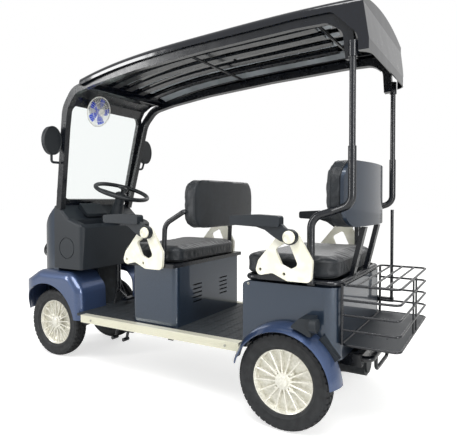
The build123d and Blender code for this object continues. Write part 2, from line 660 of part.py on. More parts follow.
def roof_block(inset):
    """The roof as a solid, each face moved inwards by inset."""
    path = roof_line()
    half = ROOF_HALF - inset
    depth = 260
    drop = 12.0
    round_r = 26.0
    crown = ThreePointArc((-half + round_r, -drop - inset + 8), (0, ROOF_CROWN - inset), (half - round_r, -drop - inset + 8))
    left = ThreePointArc((half - round_r, -drop - inset + 8), (half - 7, -drop - inset), (half, -drop - inset - 18))
    right = ThreePointArc((-half, -drop - inset - 18), (-half + 7, -drop - inset), (-half + round_r, -drop - inset + 8))
    rest = Polyline((half, -drop - inset - 18), (half, -depth), (-half, -depth), (-half, -drop - inset - 18))
    section = Plane(origin=path @ 0, x_dir=(0, 1, 0), z_dir=(1, 0, 0)) * make_face([crown, left, rest, right])
    loaf = sweep(section, path=path)
    rear = ROOF_REAR_X + inset
    profile = outline((ROOF_FRONT_X - inset, 1400), (ROOF_FRONT_X - inset, 1900), (rear + 22, 1900),
                      (rear + 22, 1700), (rear, 1560), (rear, 1400))
    side = side_prism(profile, -half - 5, half + 5)
    length = 1530 - inset
    plan = Pos(rear + length / 2, 0, 1400) * extrude(
        RectangleRounded(length, 2 * half, ROOF_CORNER_R - inset), amount=500)
    plan += block(rear + length / 2, rear + length + 200, -half, half, 1400, 1900)
    return loaf & side & plan


def roof_shell():
    """Thin crowned roof with a deep rear skirt and rounded rear corners."""
    path = roof_line()
    shell = roof_block(0) - roof_block(ROOF_WALL)
    shell -= block(ROOF_REAR_X - 50, ROOF_FRONT_X + 50, -500, 500, 1300, 1724 - ROOF_REAR_SKIRT)
    edge = Spline(*[(x, z - ROOF_SKIRT) for x, z in ROOF_EDGE[:-1]])
    below = make_face([
        edge, FilletPolyline(edge @ 1, (-190, 1684), (-294, 1580), (-294, 1300), radius=(40, 60)),
        Polyline((-294, 1300), (1300, 1300), (1300, 1560), edge @ 0)])
    shell -= Pos(0, 500, 0) * extrude(Plane.XZ * below, amount=1000)
    return shell


def roof_slats():
    """Lengthwise slats under the roof, and two round cross bars."""
    low = Spline(*[(x, z + 2) for x, z in ROOF_EDGE[:-1]])
    high = Spline(*[(x, z + 14) for x, z in ROOF_EDGE[:-1]])
    face = make_face([low, high, Line(low @ 0, high @ 0), Line(low @ 1, high @ 1)])
    slats = Part()
    for row in range(SLATS):
        y = (row - (SLATS - 1) / 2) * SLAT_PITCH
        drop = ROOF_CROWN * (y / ROOF_HALF) ** 2
        slats += Pos(0, y + SLAT_WIDTH / 2, -drop - 4) * extrude(Plane.XZ * face, amount=SLAT_WIDTH)
    for x, z in ((585, 1671), (-95, 1684)):
        reach = 338
        slats += axle_drum(x, -reach, reach, z, CROSS_BAR_D / 2)
    return slats


# ---- rear posts and rear seat -------------------------------------------------------
def rear_posts():
    """Roof post on each side, a slim tube that slides into the lower sleeve."""
    post = tube([(POST_X, POST_Y, SLEEVE_TOP - 80), (POST_X, POST_Y, POST_TOP)], POST_D)
    return both_sides(post)


def seat_sleeve():
    """Left lower tube: sleeve for the post, bent forward and down to the seat's base."""
    return tube([(POST_X, POST_Y, SLEEVE_TOP), (POST_X, POST_Y, 935), (POST_X + 80, LOOP_Y, 908),
                 (LOOP_X, LOOP_Y, 880), (LOOP_X, LOOP_Y, SEAT_BASE_Z)], LOOP_D, bend=(50, 40, 60))


BASE_TUBE_D = 25.0
SEAT_BASE_Z = BODY_TOP + BASE_TUBE_D / 2 + FIT


def rear_seat_frame():
    """Base ring, side loops with the post sleeves, bracket pads and two back supports."""
    x0 = BODY_X0 + 14
    x1 = BODY_X1 - 8
    y = 330
    corners = [(x1, y, SEAT_BASE_Z), (x1, -y, SEAT_BASE_Z), (x0, -y, SEAT_BASE_Z), (x0, y, SEAT_BASE_Z)]
    ring = tube(corners, BASE_TUBE_D, bend=40, closed=True)
    sleeve = seat_sleeve()
    sleeve -= Pos(POST_X, POST_Y, SLEEVE_TOP - 40) * Cylinder(POST_D / 2 + FIT, 84)
    side = sleeve + block(-20, 138, y, REAR_ARM_Y - FIT, SEAT_BASE_Z, SEAT_BASE_Z + 44)
    side += block(LOOP_X - 16, LOOP_X + 16, y, LOOP_Y, SEAT_BASE_Z - 10, SEAT_BASE_Z + 10)
    frame = ring + both_sides(side)
    top = REAR_BACK_BOTTOM - FIT
    bar = outline((x0 - 8, SEAT_BASE_Z), (x0 + 12, SEAT_BASE_Z), (REAR_BACK_X + 18, top), (REAR_BACK_X - 3, top))
    for y in (-BACK_BAR_Y, BACK_BAR_Y):
        frame += side_prism(bar, y - BACK_BAR_WIDTH / 2, y + BACK_BAR_WIDTH / 2)
    return frame


def crowned_pad(x0, x1, half, z0, z1, corner, edge):
    """A plain cushion: rounded in plan, with softened upper and lower edges."""
    pad = Pos((x0 + x1) / 2, 0, z0) * extrude(RectangleRounded(x1 - x0, 2 * half, corner), amount=z1 - z0)
    rims = pad.faces().sort_by(Axis.Z)
    return fillet(rims[-1].edges() + rims[0].edges(), edge)


def rear_cushion():
    z0 = SEAT_BASE_Z + BASE_TUBE_D / 2 + FIT
    return crowned_pad(REAR_CUSHION_X0, REAR_CUSHION_X1, REAR_CUSHION_HALF, z0, REAR_CUSHION_TOP, 70, 20)


def back_pad(x, half, z0, z1, thick, corner, wrap, trim=0.0):
    """A plain back pad, curved in plan by wrap so that its ends come forward, its outline cut in by trim."""
    radius = (half ** 2 + wrap ** 2) / (2 * wrap)
    reach = half + 10
    ends = radius - math.sqrt(radius ** 2 - reach ** 2)
    front = ThreePointArc((ends, reach), (0, 0), (ends, -reach))
    rear = ThreePointArc((ends - thick, reach), (-thick, 0), (ends - thick, -reach))
    face = make_face([front, rear, Line(front @ 0, rear @ 0), Line(front @ 1, rear @ 1)])
    slab = Pos(x, 0, z0 - 5) * extrude(face, amount=z1 - z0 + 10)
    shape = Plane.YZ * RectangleRounded(2 * (half - trim), z1 - z0 - 2 * trim, corner - trim)
    return slab & (Pos(x, 0, (z0 + z1) / 2) * extrude(shape, amount=2 * (thick + wrap), both=True))


def front_back_pad():
    return back_pad(BACK_X, BACK_HALF, BACK_BOTTOM, BACK_TOP, BACK_THICK, 75, 20)


def rear_back_pad():
    return back_pad(REAR_BACK_X + 60, REAR_BACK_HALF, REAR_BACK_BOTTOM, REAR_BACK_TOP, REAR_BACK_THICK, 100, 52)


def rear_back_shell():
    """Moulded shell on the back of the rear pad."""
    return back_pad(REAR_BACK_X + 60 - REAR_BACK_THICK - FIT, REAR_BACK_HALF, REAR_BACK_BOTTOM,
                    REAR_BACK_TOP, BACK_SHELL_THICK, 100, 52, trim=5)


def body_block(inset):
    """The rear body as a solid, its top and sides moved inwards by inset."""
    plan = Rectangle(BODY_X1 - BODY_X0 - 2 * inset, 2 * (BODY_HALF - inset))
    plan = fillet(plan.vertices().sort_by(Axis.X)[:2], BODY_CORNER_R - inset)
    plan = fillet(plan.vertices().sort_by(Axis.X)[-2:], BODY_FRONT_CORNER_R - inset)
    solid = Pos((BODY_X0 + BODY_X1) / 2, 0, BODY_BOTTOM) * extrude(plan, amount=BODY_TOP - inset - BODY_BOTTOM)
    radius = BODY_TOP_CORNER_R - inset
    x = BODY_X1 - inset - radius
    z = BODY_TOP - inset - radius
    edge = block(x, x + radius + 1, -BODY_HALF - 1, BODY_HALF + 1, z, z + radius + 1)
    return solid - (edge - axle_drum(x, -BODY_HALF - 2, BODY_HALF + 2, z, radius))


def rear_body():
    """Rear body panels: a box open below, with an arch in each side for the wheels."""
    body = body_block(0) - body_block(WALL)
    body -= Pos(0, 0, -1) * body_block(WALL)
    body -= axle_drum(0, -500, 500, TYRE_R, REAR_ARCH_R) - block(-300, 300, -300, 300, 0, 600)
    return body


def fender_section(drop):
    """Section of the rear fender from the body out to its lip, drop below its outer face."""
    inner_y = BODY_HALF + FIT
    return ThreePointArc(
        (REAR_ARCH_R + FENDER_RISE - drop, inner_y), (REAR_ARCH_R + FENDER_RISE - 5 - drop, inner_y + 52 - drop / 4),
        (REAR_FENDER_LIP_R - drop * 0.8, REAR_FENDER_OUTER - drop))


def rear_fender(side):
    """Bulging fender round a rear wheel, from the sill to behind the wheel."""
    outer = fender_section(0)
    under = fender_section(5)
    face = make_face([outer, under, Line(outer @ 0, under @ 0), Line(outer @ 1, under @ 1)])
    arc = revolve(face, Axis.Y, revolution_arc=162)
    arch = Rot(0, -14, 0) * mirror(arc, about=Plane.XY)
    return facing(Pos(0, 0, TYRE_R) * arch, side)


def tail_lamps():
    """Wedge housing on each rear fender, with a round lamp to the rear and a bar lamp below."""
    inner_y = BODY_HALF + FIT
    x, y, z = TAIL_LAMP
    side = outline((x + 9, z + TAIL_LAMP_R - 3), (x + 9, z - 45), (x + 92, z - 45), (x + 92, z - 10),
                   (x + 58, z + TAIL_LAMP_R - 5))
    lamp = side_prism(side, inner_y, y + 8)
    lamp += Pos(x, y, z) * Rot(0, 90, 0) * Cylinder(TAIL_LAMP_R, 22)
    bar = block(-REAR_ARCH_R - 34, -REAR_ARCH_R, inner_y, inner_y + 28, -52, 52)
    lamp += Pos(0, 0, TYRE_R) * Rot(0, BAR_LAMP_ANGLE, 0) * bar
    crown = fender_section(0).bounding_box().max.X
    lamp -= axle_drum(0, inner_y - 5, y + 60, TYRE_R, crown + FIT)
    return both_sides(lamp)


# ---- front seat ---------------------------------------------------------------------
def front_seat_box():
    """Hollow seat box with rounded corners, open at the top, with cooling louvres behind."""
    middle = (SEAT_X0 + SEAT_X1) / 2
    length = SEAT_X1 - SEAT_X0
    outer = Pos(middle, 0, FLOOR_TOP + FIT) * extrude(
        RectangleRounded(length, 2 * SEAT_HALF, SEAT_CORNER_R), amount=SEAT_TOP - FLOOR_TOP - FIT)
    inner = Pos(middle, 0, FLOOR_TOP + WALL) * extrude(
        RectangleRounded(length - 2 * WALL, 2 * (SEAT_HALF - WALL), SEAT_CORNER_R - WALL),
        amount=SEAT_TOP)
    box = outer - inner
    for side in (1, -1):
        for row in range(LOUVRES):
            z = LOUVRE_LOW + row * LOUVRE_PITCH
            box -= Pos(SEAT_X0, side * LOUVRE_Y, z) * Box(3 * WALL, LOUVRE_WIDTH, LOUVRE_HEIGHT)
    return box


LOUVRES = 5
LOUVRE_LOW = 420.0
LOUVRE_PITCH = 22.0
LOUVRE_WIDTH = 80.0
LOUVRE_HEIGHT = 7.0
LOUVRE_Y = 130.0


def battery_pack():
    """Battery block on the floor of the seat box."""
    middle = (SEAT_X0 + SEAT_X1) / 2
    low = FLOOR_TOP + WALL + FIT
    return block(middle - BATTERY_LENGTH / 2, middle + BATTERY_LENGTH / 2, -BATTERY_WIDTH / 2, BATTERY_WIDTH / 2,
                 low, low + BATTERY_HEIGHT)


def front_seat_frame():
    """Ring on top of the seat box, with bent tubes that carry the back pad."""
    ring = block(SEAT_X0, RING_FRONT, -FRONT_ARM_Y + FIT, FRONT_ARM_Y - FIT, SEAT_TOP + FIT, SEAT_TOP + RING_H)
    ring -= block(SEAT_X0 + 24, SEAT_X1 - 24, -SEAT_HALF + 24, SEAT_HALF - 24, SEAT_TOP - 1, SEAT_TOP + RING_H + 1)
    post = tube([(688, SEAT_TUBE_Y, SEAT_TOP + 8), (678, SEAT_TUBE_Y, 830), (BACK_X + 12, BACK_HALF + 6, 892),
                 (BACK_X - 6, BACK_HALF - 34, 897)], SEAT_TUBE_D, bend=(60, 14))
    post -= front_back_pad()
    solids = sorted(post.solids(), key=lambda s: s.center().Z)
    hinge = axle_drum(HINGE_X, HINGE_Y - 30, HINGE_Y + 30, HINGE_Z, HINGE_PIN_R)
    for shift in (-20, 20):
        hinge += axle_drum(HINGE_X, HINGE_Y + shift - 10, HINGE_Y + shift + 10, HINGE_Z, HINGE_R)
        hinge += block(RING_FRONT, HINGE_X, HINGE_Y + shift - 10, HINGE_Y + shift + 10, HINGE_Z - HINGE_R, HINGE_Z)
    return ring + both_sides(Part() + solids[0] + hinge)


def front_cushion():
    """Front cushion on its base board, with the hinges it tips forward about."""
    pad = crowned_pad(CUSHION_X0, CUSHION_X1, CUSHION_HALF, CUSHION_BOTTOM, CUSHION_TOP, 60, 20)
    half = 10 - FIT
    leaf = axle_drum(HINGE_X, HINGE_Y - half, HINGE_Y + half, HINGE_Z, HINGE_R)
    leaf += block(HINGE_X, HINGE_X + HINGE_R, HINGE_Y - half, HINGE_Y + half, HINGE_Z, CUSHION_BOTTOM + 2)
    leaf -= axle_drum(HINGE_X, HINGE_Y - 30, HINGE_Y + 30, HINGE_Z, HINGE_PIN_R + PIN_FIT)
    return pad + both_sides(leaf)


# ---- armrests -----------------------------------------------------------------------
def arm_bracket(x, y, z):
    """Cast bracket with a drop-shaped window and two bolt holes; y is its inner face."""
    lobe = outline((-28, 12), (-92, -96), (-86, -184), (20, -184), (86, -155), (174, -176), (152, -105), (44, 24),
                   radius=24)
    window = outline((74, -52), (44, -118), (4, -134), (-30, -116), (14, -18), radius=14)
    plate = make_face(lobe) - make_face(window)
    for hole_x, hole_z in ((143, -143), (33, -156)):
        plate -= Pos(hole_x, hole_z) * Circle(BRACKET_HOLE_D / 2)
    piece = Pos(x, y + BRACKET_THICK, z) * extrude(Plane.XZ * plate, amount=BRACKET_THICK)
    piece += axle_drum(x, y, y + BRACKET_THICK, z, ARM_HUB_R - 3)
    return piece


def arm_brackets():
    """The four armrest brackets."""
    left = arm_bracket(FRONT_ARM_X, FRONT_ARM_Y, FRONT_ARM_Z)
    left += arm_bracket(REAR_ARM_X, REAR_ARM_Y, REAR_ARM_Z)
    return both_sides(left)


def armrest(x, y, z, side):
    """Arm with a round hub, a gusset and a padded top, lying forward of its pivot."""
    hub_y = y + BRACKET_THICK + FIT
    arm = axle_drum(x, hub_y, hub_y + ARM_HUB_THICK, z, ARM_HUB_R)
    arm += axle_drum(x, hub_y, hub_y + ARM_HUB_THICK + 4, z, ARM_HUB_R - 5)
    gusset = outline((-8, 30), (16, 34), (36, 52), (268, 52), (270, 44), (150, 38), (110, 26), (72, 0), (40, -18),
                     (22, -22))
    gusset = Plane.XZ * make_face(gusset)
    arm += Pos(x, hub_y + ARM_HUB_THICK, z) * extrude(gusset, amount=ARM_HUB_THICK)
    pad_y = y + BRACKET_THICK / 2 - 2
    pad = outline((39, 41), (39, 86), (150, 91), (274, 84), (274, 44), radius=12)
    pad = Plane.XZ * make_face(pad)
    arm += Pos(x, pad_y + ARM_PAD_WIDTH, z) * extrude(pad, amount=ARM_PAD_WIDTH)
    return facing(arm, side)


# ---- mirrors and fan ----------------------------------------------------------------
MIRROR = (1415.0, 395.0, 1285.0)
MIRROR_CLAMP_Z = 1165.0


def mirrors():
    """Oval mirror on a clamped arm on each pillar, facing back."""
    x, y, z = MIRROR
    head = Pos(x, y, z) * Rot(0, 90, 0) * extrude(Ellipse(80, 60), amount=22)
    arm = tube([(1440, 336, MIRROR_CLAMP_Z), (1440, 385, MIRROR_CLAMP_Z), (x + 12, y, z - 60)], 14, bend=18)
    return both_sides(head + arm)


FAN_CENTRE = (1290.0, 166.0, 1470.0)
FAN_CAGE_R = 102.0
FAN_BLADE_R = 76.0
FAN_TILT = 105.0              # fan's shaft, from the vertical
FAN_BLADES = 4


def fan_place():
    """Middle of the fan, with Z along its shaft, towards the seats."""
    return Pos(*FAN_CENTRE) * Rot(0, -FAN_TILT, 0)


def fan_housing():
    """Clip-on fan: wire cage with a ring and ribs each side, motor, stem and clamp."""
    cage = Part()
    for z, radius in ((0, FAN_CAGE_R), (22, FAN_CAGE_R * 0.72), (-22, FAN_CAGE_R * 0.72)):
        cage += Pos(0, 0, z) * Torus(radius, 2.0)
    ribs = 8
    for turn in range(ribs):
        rib = Polyline((20, 31), (FAN_CAGE_R * 0.72, 23.5), (FAN_CAGE_R + 1.5, 1.5), (FAN_CAGE_R + 1.5, -1.5),
                       (FAN_CAGE_R * 0.72, -23.5), (20, -31), (20, -28), (FAN_CAGE_R * 0.7, -20.5),
                       (FAN_CAGE_R - 2, 0), (FAN_CAGE_R * 0.7, 20.5), (20, 28), close=True)
        bar = extrude(Plane.XZ * make_face(rib), amount=1.2, both=True)
        cage += Rot(0, 0, 360 / ribs * turn) * bar
    cage += Pos(0, 0, 30) * Cylinder(24, 4)
    cage += Pos(0, 0, -48) * Cylinder(30, 44)
    housing = fan_place() * cage
    stem = tube([(FAN_CENTRE[0] + 48, FAN_CENTRE[1], FAN_CENTRE[2] + 20), (1354, FAN_CENTRE[1], 1540)], 14)
    return housing + stem


def fan_blades():
    """Four pitched blades on a small hub."""
    rotor = Cylinder(18, 20)
    rotor += Pos(0, 0, -18 + FIT / 2) * Cylinder(4, 16 - FIT)
    for turn in range(FAN_BLADES):
        blade = Pos(FAN_BLADE_R / 2 + 5, 0, 0) * Rot(28, 0, 0) * Box(FAN_BLADE_R - 12, 42, 3)
        rotor += Rot(0, 0, 360 / FAN_BLADES * turn) * blade
    rotor = rotor & Cylinder(FAN_BLADE_R, 60)
    return fan_place() * rotor


# ---- basket and bumper --------------------------------------------------------------
def basket_frame():
    """Wire basket: lid frame with bars, side rails, bottom frame and uprights."""
    x0 = BASKET_X0
    x1 = REAR_END + WIRE_D / 2
    y = BASKET_HALF
    frame = Part()
    for z in (BASKET_TOP, BASKET_BOTTOM):
        frame += tube([(x0, y, z), (x1, y, z), (x1, -y, z), (x0, -y, z)], WIRE_D, bend=BASKET_CORNER_R, closed=True)
    step = (BASKET_TOP - BASKET_BOTTOM) / (BASKET_RAILS + 1)
    for row in range(BASKET_RAILS):
        z = BASKET_BOTTOM + step * (row + 1)
        frame += tube([(x0, y, z), (x1, y, z), (x1, -y, z), (x0, -y, z)], WIRE_D, bend=BASKET_CORNER_R)
    for row in range(BASKET_BARS):
        x = x0 + (x1 - x0) * (row + 1) / (BASKET_BARS + 1)
        frame += tube([(x, y, BASKET_TOP), (x, -y, BASKET_TOP)], WIRE_D - 1)
    for side in (1, -1):
        frame += tube([(x0, side * y, BASKET_TOP), (x0, side * y, BASKET_BOTTOM)], UPRIGHT_D)
        frame += tube([(x1, side * 35, BASKET_TOP), (x1, side * 35, BASKET_BOTTOM)], WIRE_D - 2)
    return frame


def basket_tray():
    """Sheet tray on the bottom frame, with four holes for a box or a strap plate."""
    x0 = BASKET_X0 - UPRIGHT_D / 2 - FIT
    x1 = REAR_END + WIRE_D + FIT
    half = BASKET_HALF - WIRE_D / 2 - FIT
    middle = (x0 + x1) / 2
    corner = BASKET_CORNER_R - WIRE_D / 2 - FIT
    tray = Pos(middle, 0, BASKET_BOTTOM - TRAY_THICK / 2) * extrude(
        RectangleRounded(x0 - x1, 2 * half, corner), amount=TRAY_THICK)
    for sx in (-1, 1):
        for sy in (-1, 1):
            hole = Pos(middle + sx * TRAY_HOLE_PITCH_X / 2, sy * TRAY_HOLE_PITCH_Y / 2, BASKET_BOTTOM)
            tray -= hole * Cylinder(TRAY_HOLE_D / 2, 3 * TRAY_THICK)
    return tray


def rear_bumper():
    """Cross tube behind the body, two stays from the rails and a hanging loop."""
    z = 285
    x = BODY_X0 - 90
    rail_end = BODY_X0 - RAIL_OVERHANG - FIT
    bumper = tube([(rail_end, REAR_RAIL_Y, z), (x, REAR_RAIL_Y, z), (x, -REAR_RAIL_Y, z),
                   (rail_end, -REAR_RAIL_Y, z)], 25, bend=(28, 28))
    bumper += tube([(x, 112, z), (x, 112, 218), (x, -112, 218), (x, -112, z)], 16, bend=(26, 26))
    for side in (1, -1):
        bumper += block(x - 6, x + 6, side * 60 - 12, side * 60 + 12, z + 6, BASKET_BOTTOM - WIRE_D / 2 - 40)
    return bumper


def stay_rod():
    """Slim stay on the right, from the sleeve's bend down to a bracket on the body."""
    y = -POST_Y
    rod = tube([(POST_X, y, 900), (POST_X, y, 430)], 16)
    foot = block(POST_X - 10, BODY_X0 + 30, y - 12, y + 12, 418, 440)
    foot += block(BODY_X0 + 10, BODY_X0 + BODY_CORNER_R + 15, y + 11, -BODY_HALF - FIT, 410, 448)
    return rod + foot


# ---- write --------------------------------------------------------------------------
def build():
    """Every sub-part by its name."""
    parts = {}
    shape_tyre = tyre()
    shape_rim = rim()
    for end in ("front", "rear"):
        for name, side in (("left", 1), ("right", -1)):
            place = wheel_place(end == "front", side)
            parts[f"tyre_{end}_{name}"] = place * facing(shape_tyre, side)
            parts[f"rim_{end}_{name}"] = place * facing(shape_rim, side)
    for name, side in (("left", 1), ("right", -1)):
        parts[f"knuckle_{name}"] = knuckle(side)
        parts[f"front_fender_{name}"] = front_fender(side)
        parts[f"rear_fender_{name}"] = rear_fender(side)
        parts[f"armrest_front_{name}"] = armrest(FRONT_ARM_X, FRONT_ARM_Y, FRONT_ARM_Z, side)
        parts[f"armrest_rear_{name}"] = armrest(REAR_ARM_X, REAR_ARM_Y, REAR_ARM_Z, side)
    plain_console = console_block()
    parts["front_axle"] = front_axle()
    parts["tie_rod"] = tie_rod()
    parts["steering_wheel"] = steering_wheel()
    parts["rear_axle"] = rear_axle()
    parts["chassis_frame"] = chassis_frame()
    parts["floor_deck"] = floor_deck()
    parts["side_sills"] = side_sills()
    parts["front_cowl"] = front_cowl()
    parts["headlamps"] = headlamps()
    parts["dash_console"] = dash_console(plain_console)
    parts["instrument_display"] = instrument_display() - plain_console
    parts["steering_column"] = steering_column(plain_console + parts["instrument_display"])
    parts["pedals"] = pedals() - parts["floor_deck"]
    parts["canopy_frame"] = canopy_frame() - plain_console
    parts["windshield_glass"] = windshield_glass()
    parts["roof_shell"] = roof_shell() - parts["canopy_frame"]
    parts["roof_slats"] = roof_slats() - parts["roof_shell"] - parts["canopy_frame"]
    parts["rear_posts"] = rear_posts()
    parts["rear_cushion"] = rear_cushion()
    parts["rear_back_pad"] = rear_back_pad()
    parts["rear_back_shell"] = rear_back_shell()
    parts["rear_seat_frame"] = rear_seat_frame() - parts["rear_back_pad"] - parts["rear_back_shell"]
    parts["rear_body"] = rear_body()
    parts["tail_lamps"] = tail_lamps()
    parts["front_seat_box"] = front_seat_box()
    parts["battery_pack"] = battery_pack()
    parts["front_seat_frame"] = front_seat_frame()
    parts["front_cushion"] = front_cushion()
    parts["front_back_pad"] = front_back_pad()
    parts["arm_brackets"] = arm_brackets()
    parts["mirrors"] = mirrors() - parts["canopy_frame"]
    parts["fan_housing"] = fan_housing() - parts["canopy_frame"]
    parts["fan_blades"] = fan_blades()
    parts["basket_frame"] = basket_frame()
    parts["basket_tray"] = basket_tray()
    parts["rear_bumper"] = rear_bumper()
    parts["stay_rod"] = stay_rod()
    return parts


os.makedirs("parts", exist_ok=True)
for name, shape in build().items():
    export_step(Pos(-MIDDLE_X, 0, 0) * shape, f"parts/{name}.step")
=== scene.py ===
import json
import math

import bmesh
import bpy
from mathutils import Matrix, Vector
from mathutils.bvhtree import BVHTree
from mathutils.kdtree import KDTree


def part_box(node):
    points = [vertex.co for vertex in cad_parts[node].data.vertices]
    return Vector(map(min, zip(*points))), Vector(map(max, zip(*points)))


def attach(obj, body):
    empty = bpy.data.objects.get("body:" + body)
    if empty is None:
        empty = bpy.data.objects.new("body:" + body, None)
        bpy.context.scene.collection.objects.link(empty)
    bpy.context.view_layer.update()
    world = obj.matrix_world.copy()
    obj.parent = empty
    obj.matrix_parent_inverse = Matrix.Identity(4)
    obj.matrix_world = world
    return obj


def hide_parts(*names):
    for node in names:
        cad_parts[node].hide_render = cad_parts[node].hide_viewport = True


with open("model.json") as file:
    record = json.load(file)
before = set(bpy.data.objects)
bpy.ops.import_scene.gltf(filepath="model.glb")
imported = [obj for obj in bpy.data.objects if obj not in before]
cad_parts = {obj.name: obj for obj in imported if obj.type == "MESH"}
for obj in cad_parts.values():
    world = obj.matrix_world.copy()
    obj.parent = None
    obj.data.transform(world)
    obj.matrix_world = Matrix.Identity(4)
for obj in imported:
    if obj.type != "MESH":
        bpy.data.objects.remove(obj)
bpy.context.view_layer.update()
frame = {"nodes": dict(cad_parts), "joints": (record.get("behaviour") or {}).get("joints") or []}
nodes = frame["nodes"]
scene = bpy.context.scene

SIDES = {"left": 1.0, "right": -1.0}


# ---- small helpers ------------------------------------------------------------------
def linear(code):
    """An sRGB hex value as linear red, green, blue and alpha."""
    parts = [int(code[i:i + 2], 16) / 255 for i in (1, 3, 5)]
    return tuple(c / 12.92 if c <= 0.04045 else ((c + 0.055) / 1.055) ** 2.4 for c in parts) + (1.0,)


def add_node(tree, kind, inputs=None, **settings):
    """Adds a node, sets its settings and fills or links its inputs."""
    node = tree.nodes.new(kind)
    for key, value in settings.items():
        setattr(node, key, value)
    for key, value in (inputs or {}).items():
        if isinstance(value, bpy.types.NodeSocket):
            tree.links.new(value, node.inputs[key])
        else:
            node.inputs[key].default_value = value
    return node


def finish(name, colour, roughness, metallic=0.0, **sockets):
    """A material with one Principled shader; returns the material, its tree and the shader."""
    made = bpy.data.materials.new(name)
    made.use_nodes = True
    shader = made.node_tree.nodes["Principled BSDF"]
    shader.inputs["Base Color"].default_value = linear(colour)
    shader.inputs["Roughness"].default_value = roughness
    shader.inputs["Metallic"].default_value = metallic
    for key, value in sockets.items():
        shader.inputs[key.replace("_", " ")].default_value = value
    made.diffuse_color = linear(colour)
    return made, made.node_tree, shader


def object_space(tree, scale=1.0, turn=(0, 0, 0)):
    """Object coordinates through a Mapping node."""
    place = add_node(tree, "ShaderNodeTexCoord")
    return add_node(tree, "ShaderNodeMapping", {"Vector": place.outputs["Object"], "Rotation": turn,
                                                "Scale": (scale, scale, scale)}).outputs["Vector"]


def speckle(tree, shader, where, size, low, high, detail=2.0):
    """Mottles the base colour between two hex values with noise of a real size in millimetres."""
    noise = add_node(tree, "ShaderNodeTexNoise", {"Vector": where, "Scale": 1000 / size, "Detail": detail})
    ramp = add_node(tree, "ShaderNodeValToRGB", {"Fac": noise.outputs["Fac"]})
    ramp.color_ramp.elements[0].position = 0.35
    ramp.color_ramp.elements[1].position = 0.65
    ramp.color_ramp.elements[0].color = linear(low)
    ramp.color_ramp.elements[1].color = linear(high)
    tree.links.new(ramp.outputs["Color"], shader.inputs["Base Color"])
    return noise


def wear(tree, shader, where, size, low, high):
    """Varies the roughness between two values with noise of a size in millimetres."""
    noise = add_node(tree, "ShaderNodeTexNoise", {"Vector": where, "Scale": 1000 / size, "Detail": 3.0})
    spread = add_node(tree, "ShaderNodeMapRange", {
        "Value": noise.outputs["Fac"], "From Min": 0.3, "From Max": 0.7, "To Min": low, "To Max": high})
    tree.links.new(spread.outputs["Result"], shader.inputs["Roughness"])


def raise_surface(tree, shader, height, depth, strength=1.0, below=None):
    """Bump from a height socket; depth is in millimetres."""
    inputs = {"Height": height, "Distance": depth / 1000, "Strength": strength}
    if below is not None:
        inputs["Normal"] = below
    bump = add_node(tree, "ShaderNodeBump", inputs)
    tree.links.new(bump.outputs["Normal"], shader.inputs["Normal"])
    return bump.outputs["Normal"]


# ---- materials ----------------------------------------------------------------------
def metallic_paint():
    """Slate-blue metallic car paint under clear coat: fine flakes, a deep wet gloss."""
    made, tree, shader = finish("slate_blue_metallic_paint", "#2a3646", 0.32, 0.55, Coat_Weight=1.0,
                                Coat_Roughness=0.04)
    where = object_space(tree)
    speckle(tree, shader, where, 1.6, "#263241", "#303e50", 1.0)
    return made


def fender_paint_painted_lighter():
    """The same paint on the moulded fenders, painted a shade lighter and bluer: painted light where the
    fenders catch more light than the body.
    """
    # painted light: the lighter, bluer base colour and its mottle stand in for the light that the fenders
    # catch
    made, tree, shader = finish("fender_metallic_paint", "#40537a", 0.32, 0.55, Coat_Weight=1.0,
                                Coat_Roughness=0.05)
    where = object_space(tree)
    speckle(tree, shader, where, 1.6, "#384a6c", "#465980", 1.0)
    return made


def roof_plastic():
    """Blue-black glossy ABS, vacuum formed: mirror gloss with a faint long wave."""
    made, tree, shader = finish("gloss_black_abs", "#070b14", 0.10, 0.0, IOR=1.54, Coat_Weight=0.6,
                                Coat_Roughness=0.03)
    where = object_space(tree)
    wave = add_node(tree, "ShaderNodeTexNoise", {"Vector": where, "Scale": 9.0, "Detail": 1.0})
    raise_surface(tree, shader, wave.outputs["Fac"], 1.6)
    return made


def powder_coat():
    """Black powder-coated steel tube: satin gloss with fine orange peel."""
    made, tree, shader = finish("black_powder_coat", "#0b0f16", 0.28, 0.0, IOR=1.5, Coat_Weight=0.4,
                                Coat_Roughness=0.12)
    where = object_space(tree)
    peel = add_node(tree, "ShaderNodeTexNoise", {"Vector": where, "Scale": 420.0, "Detail": 1.0})
    raise_surface(tree, shader, peel.outputs["Fac"], 0.12)
    wear(tree, shader, where, 45, 0.22, 0.34)
    return made


def textured_plastic(name="moulded_black_abs", colour="#141a20", light="#1c232a", rough=0.5, grain=2.4):
    """Black ABS moulded in a spark-eroded tool: matt with a small pebble grain."""
    made, tree, shader = finish(name, colour, rough, 0.0, IOR=1.5)
    where = object_space(tree)
    speckle(tree, shader, where, 3.0, colour, light)
    grains = add_node(tree, "ShaderNodeTexVoronoi", {"Vector": where, "Scale": 1000 / grain})
    raise_surface(tree, shader, grains.outputs["Distance"], 0.25, 0.6)
    return made


def leatherette():
    """PU leatherette on foam: soft sheen, fine creased grain."""
    made, tree, shader = finish("black_pu_leatherette", "#14191f", 0.42, 0.0, IOR=1.5, Sheen_Weight=0.15,
                                Sheen_Roughness=0.5)
    where = object_space(tree)
    speckle(tree, shader, where, 60, "#11161b", "#191f25")
    cells = add_node(tree, "ShaderNodeTexVoronoi", {"Vector": where, "Scale": 460.0},
                     feature="DISTANCE_TO_EDGE")
    deep = add_node(tree, "ShaderNodeMapRange", {"Value": cells.outputs["Distance"], "From Min": 0.0,
                                                 "From Max": 0.25, "To Min": 0.0, "To Max": 1.0})
    grain = raise_surface(tree, shader, deep.outputs["Result"], 0.22, 0.7)
    folds = add_node(tree, "ShaderNodeTexNoise", {"Vector": where, "Scale": 16.0, "Detail": 3.0})
    raise_surface(tree, shader, folds.outputs["Fac"], 2.2, 0.5, grain)
    return made


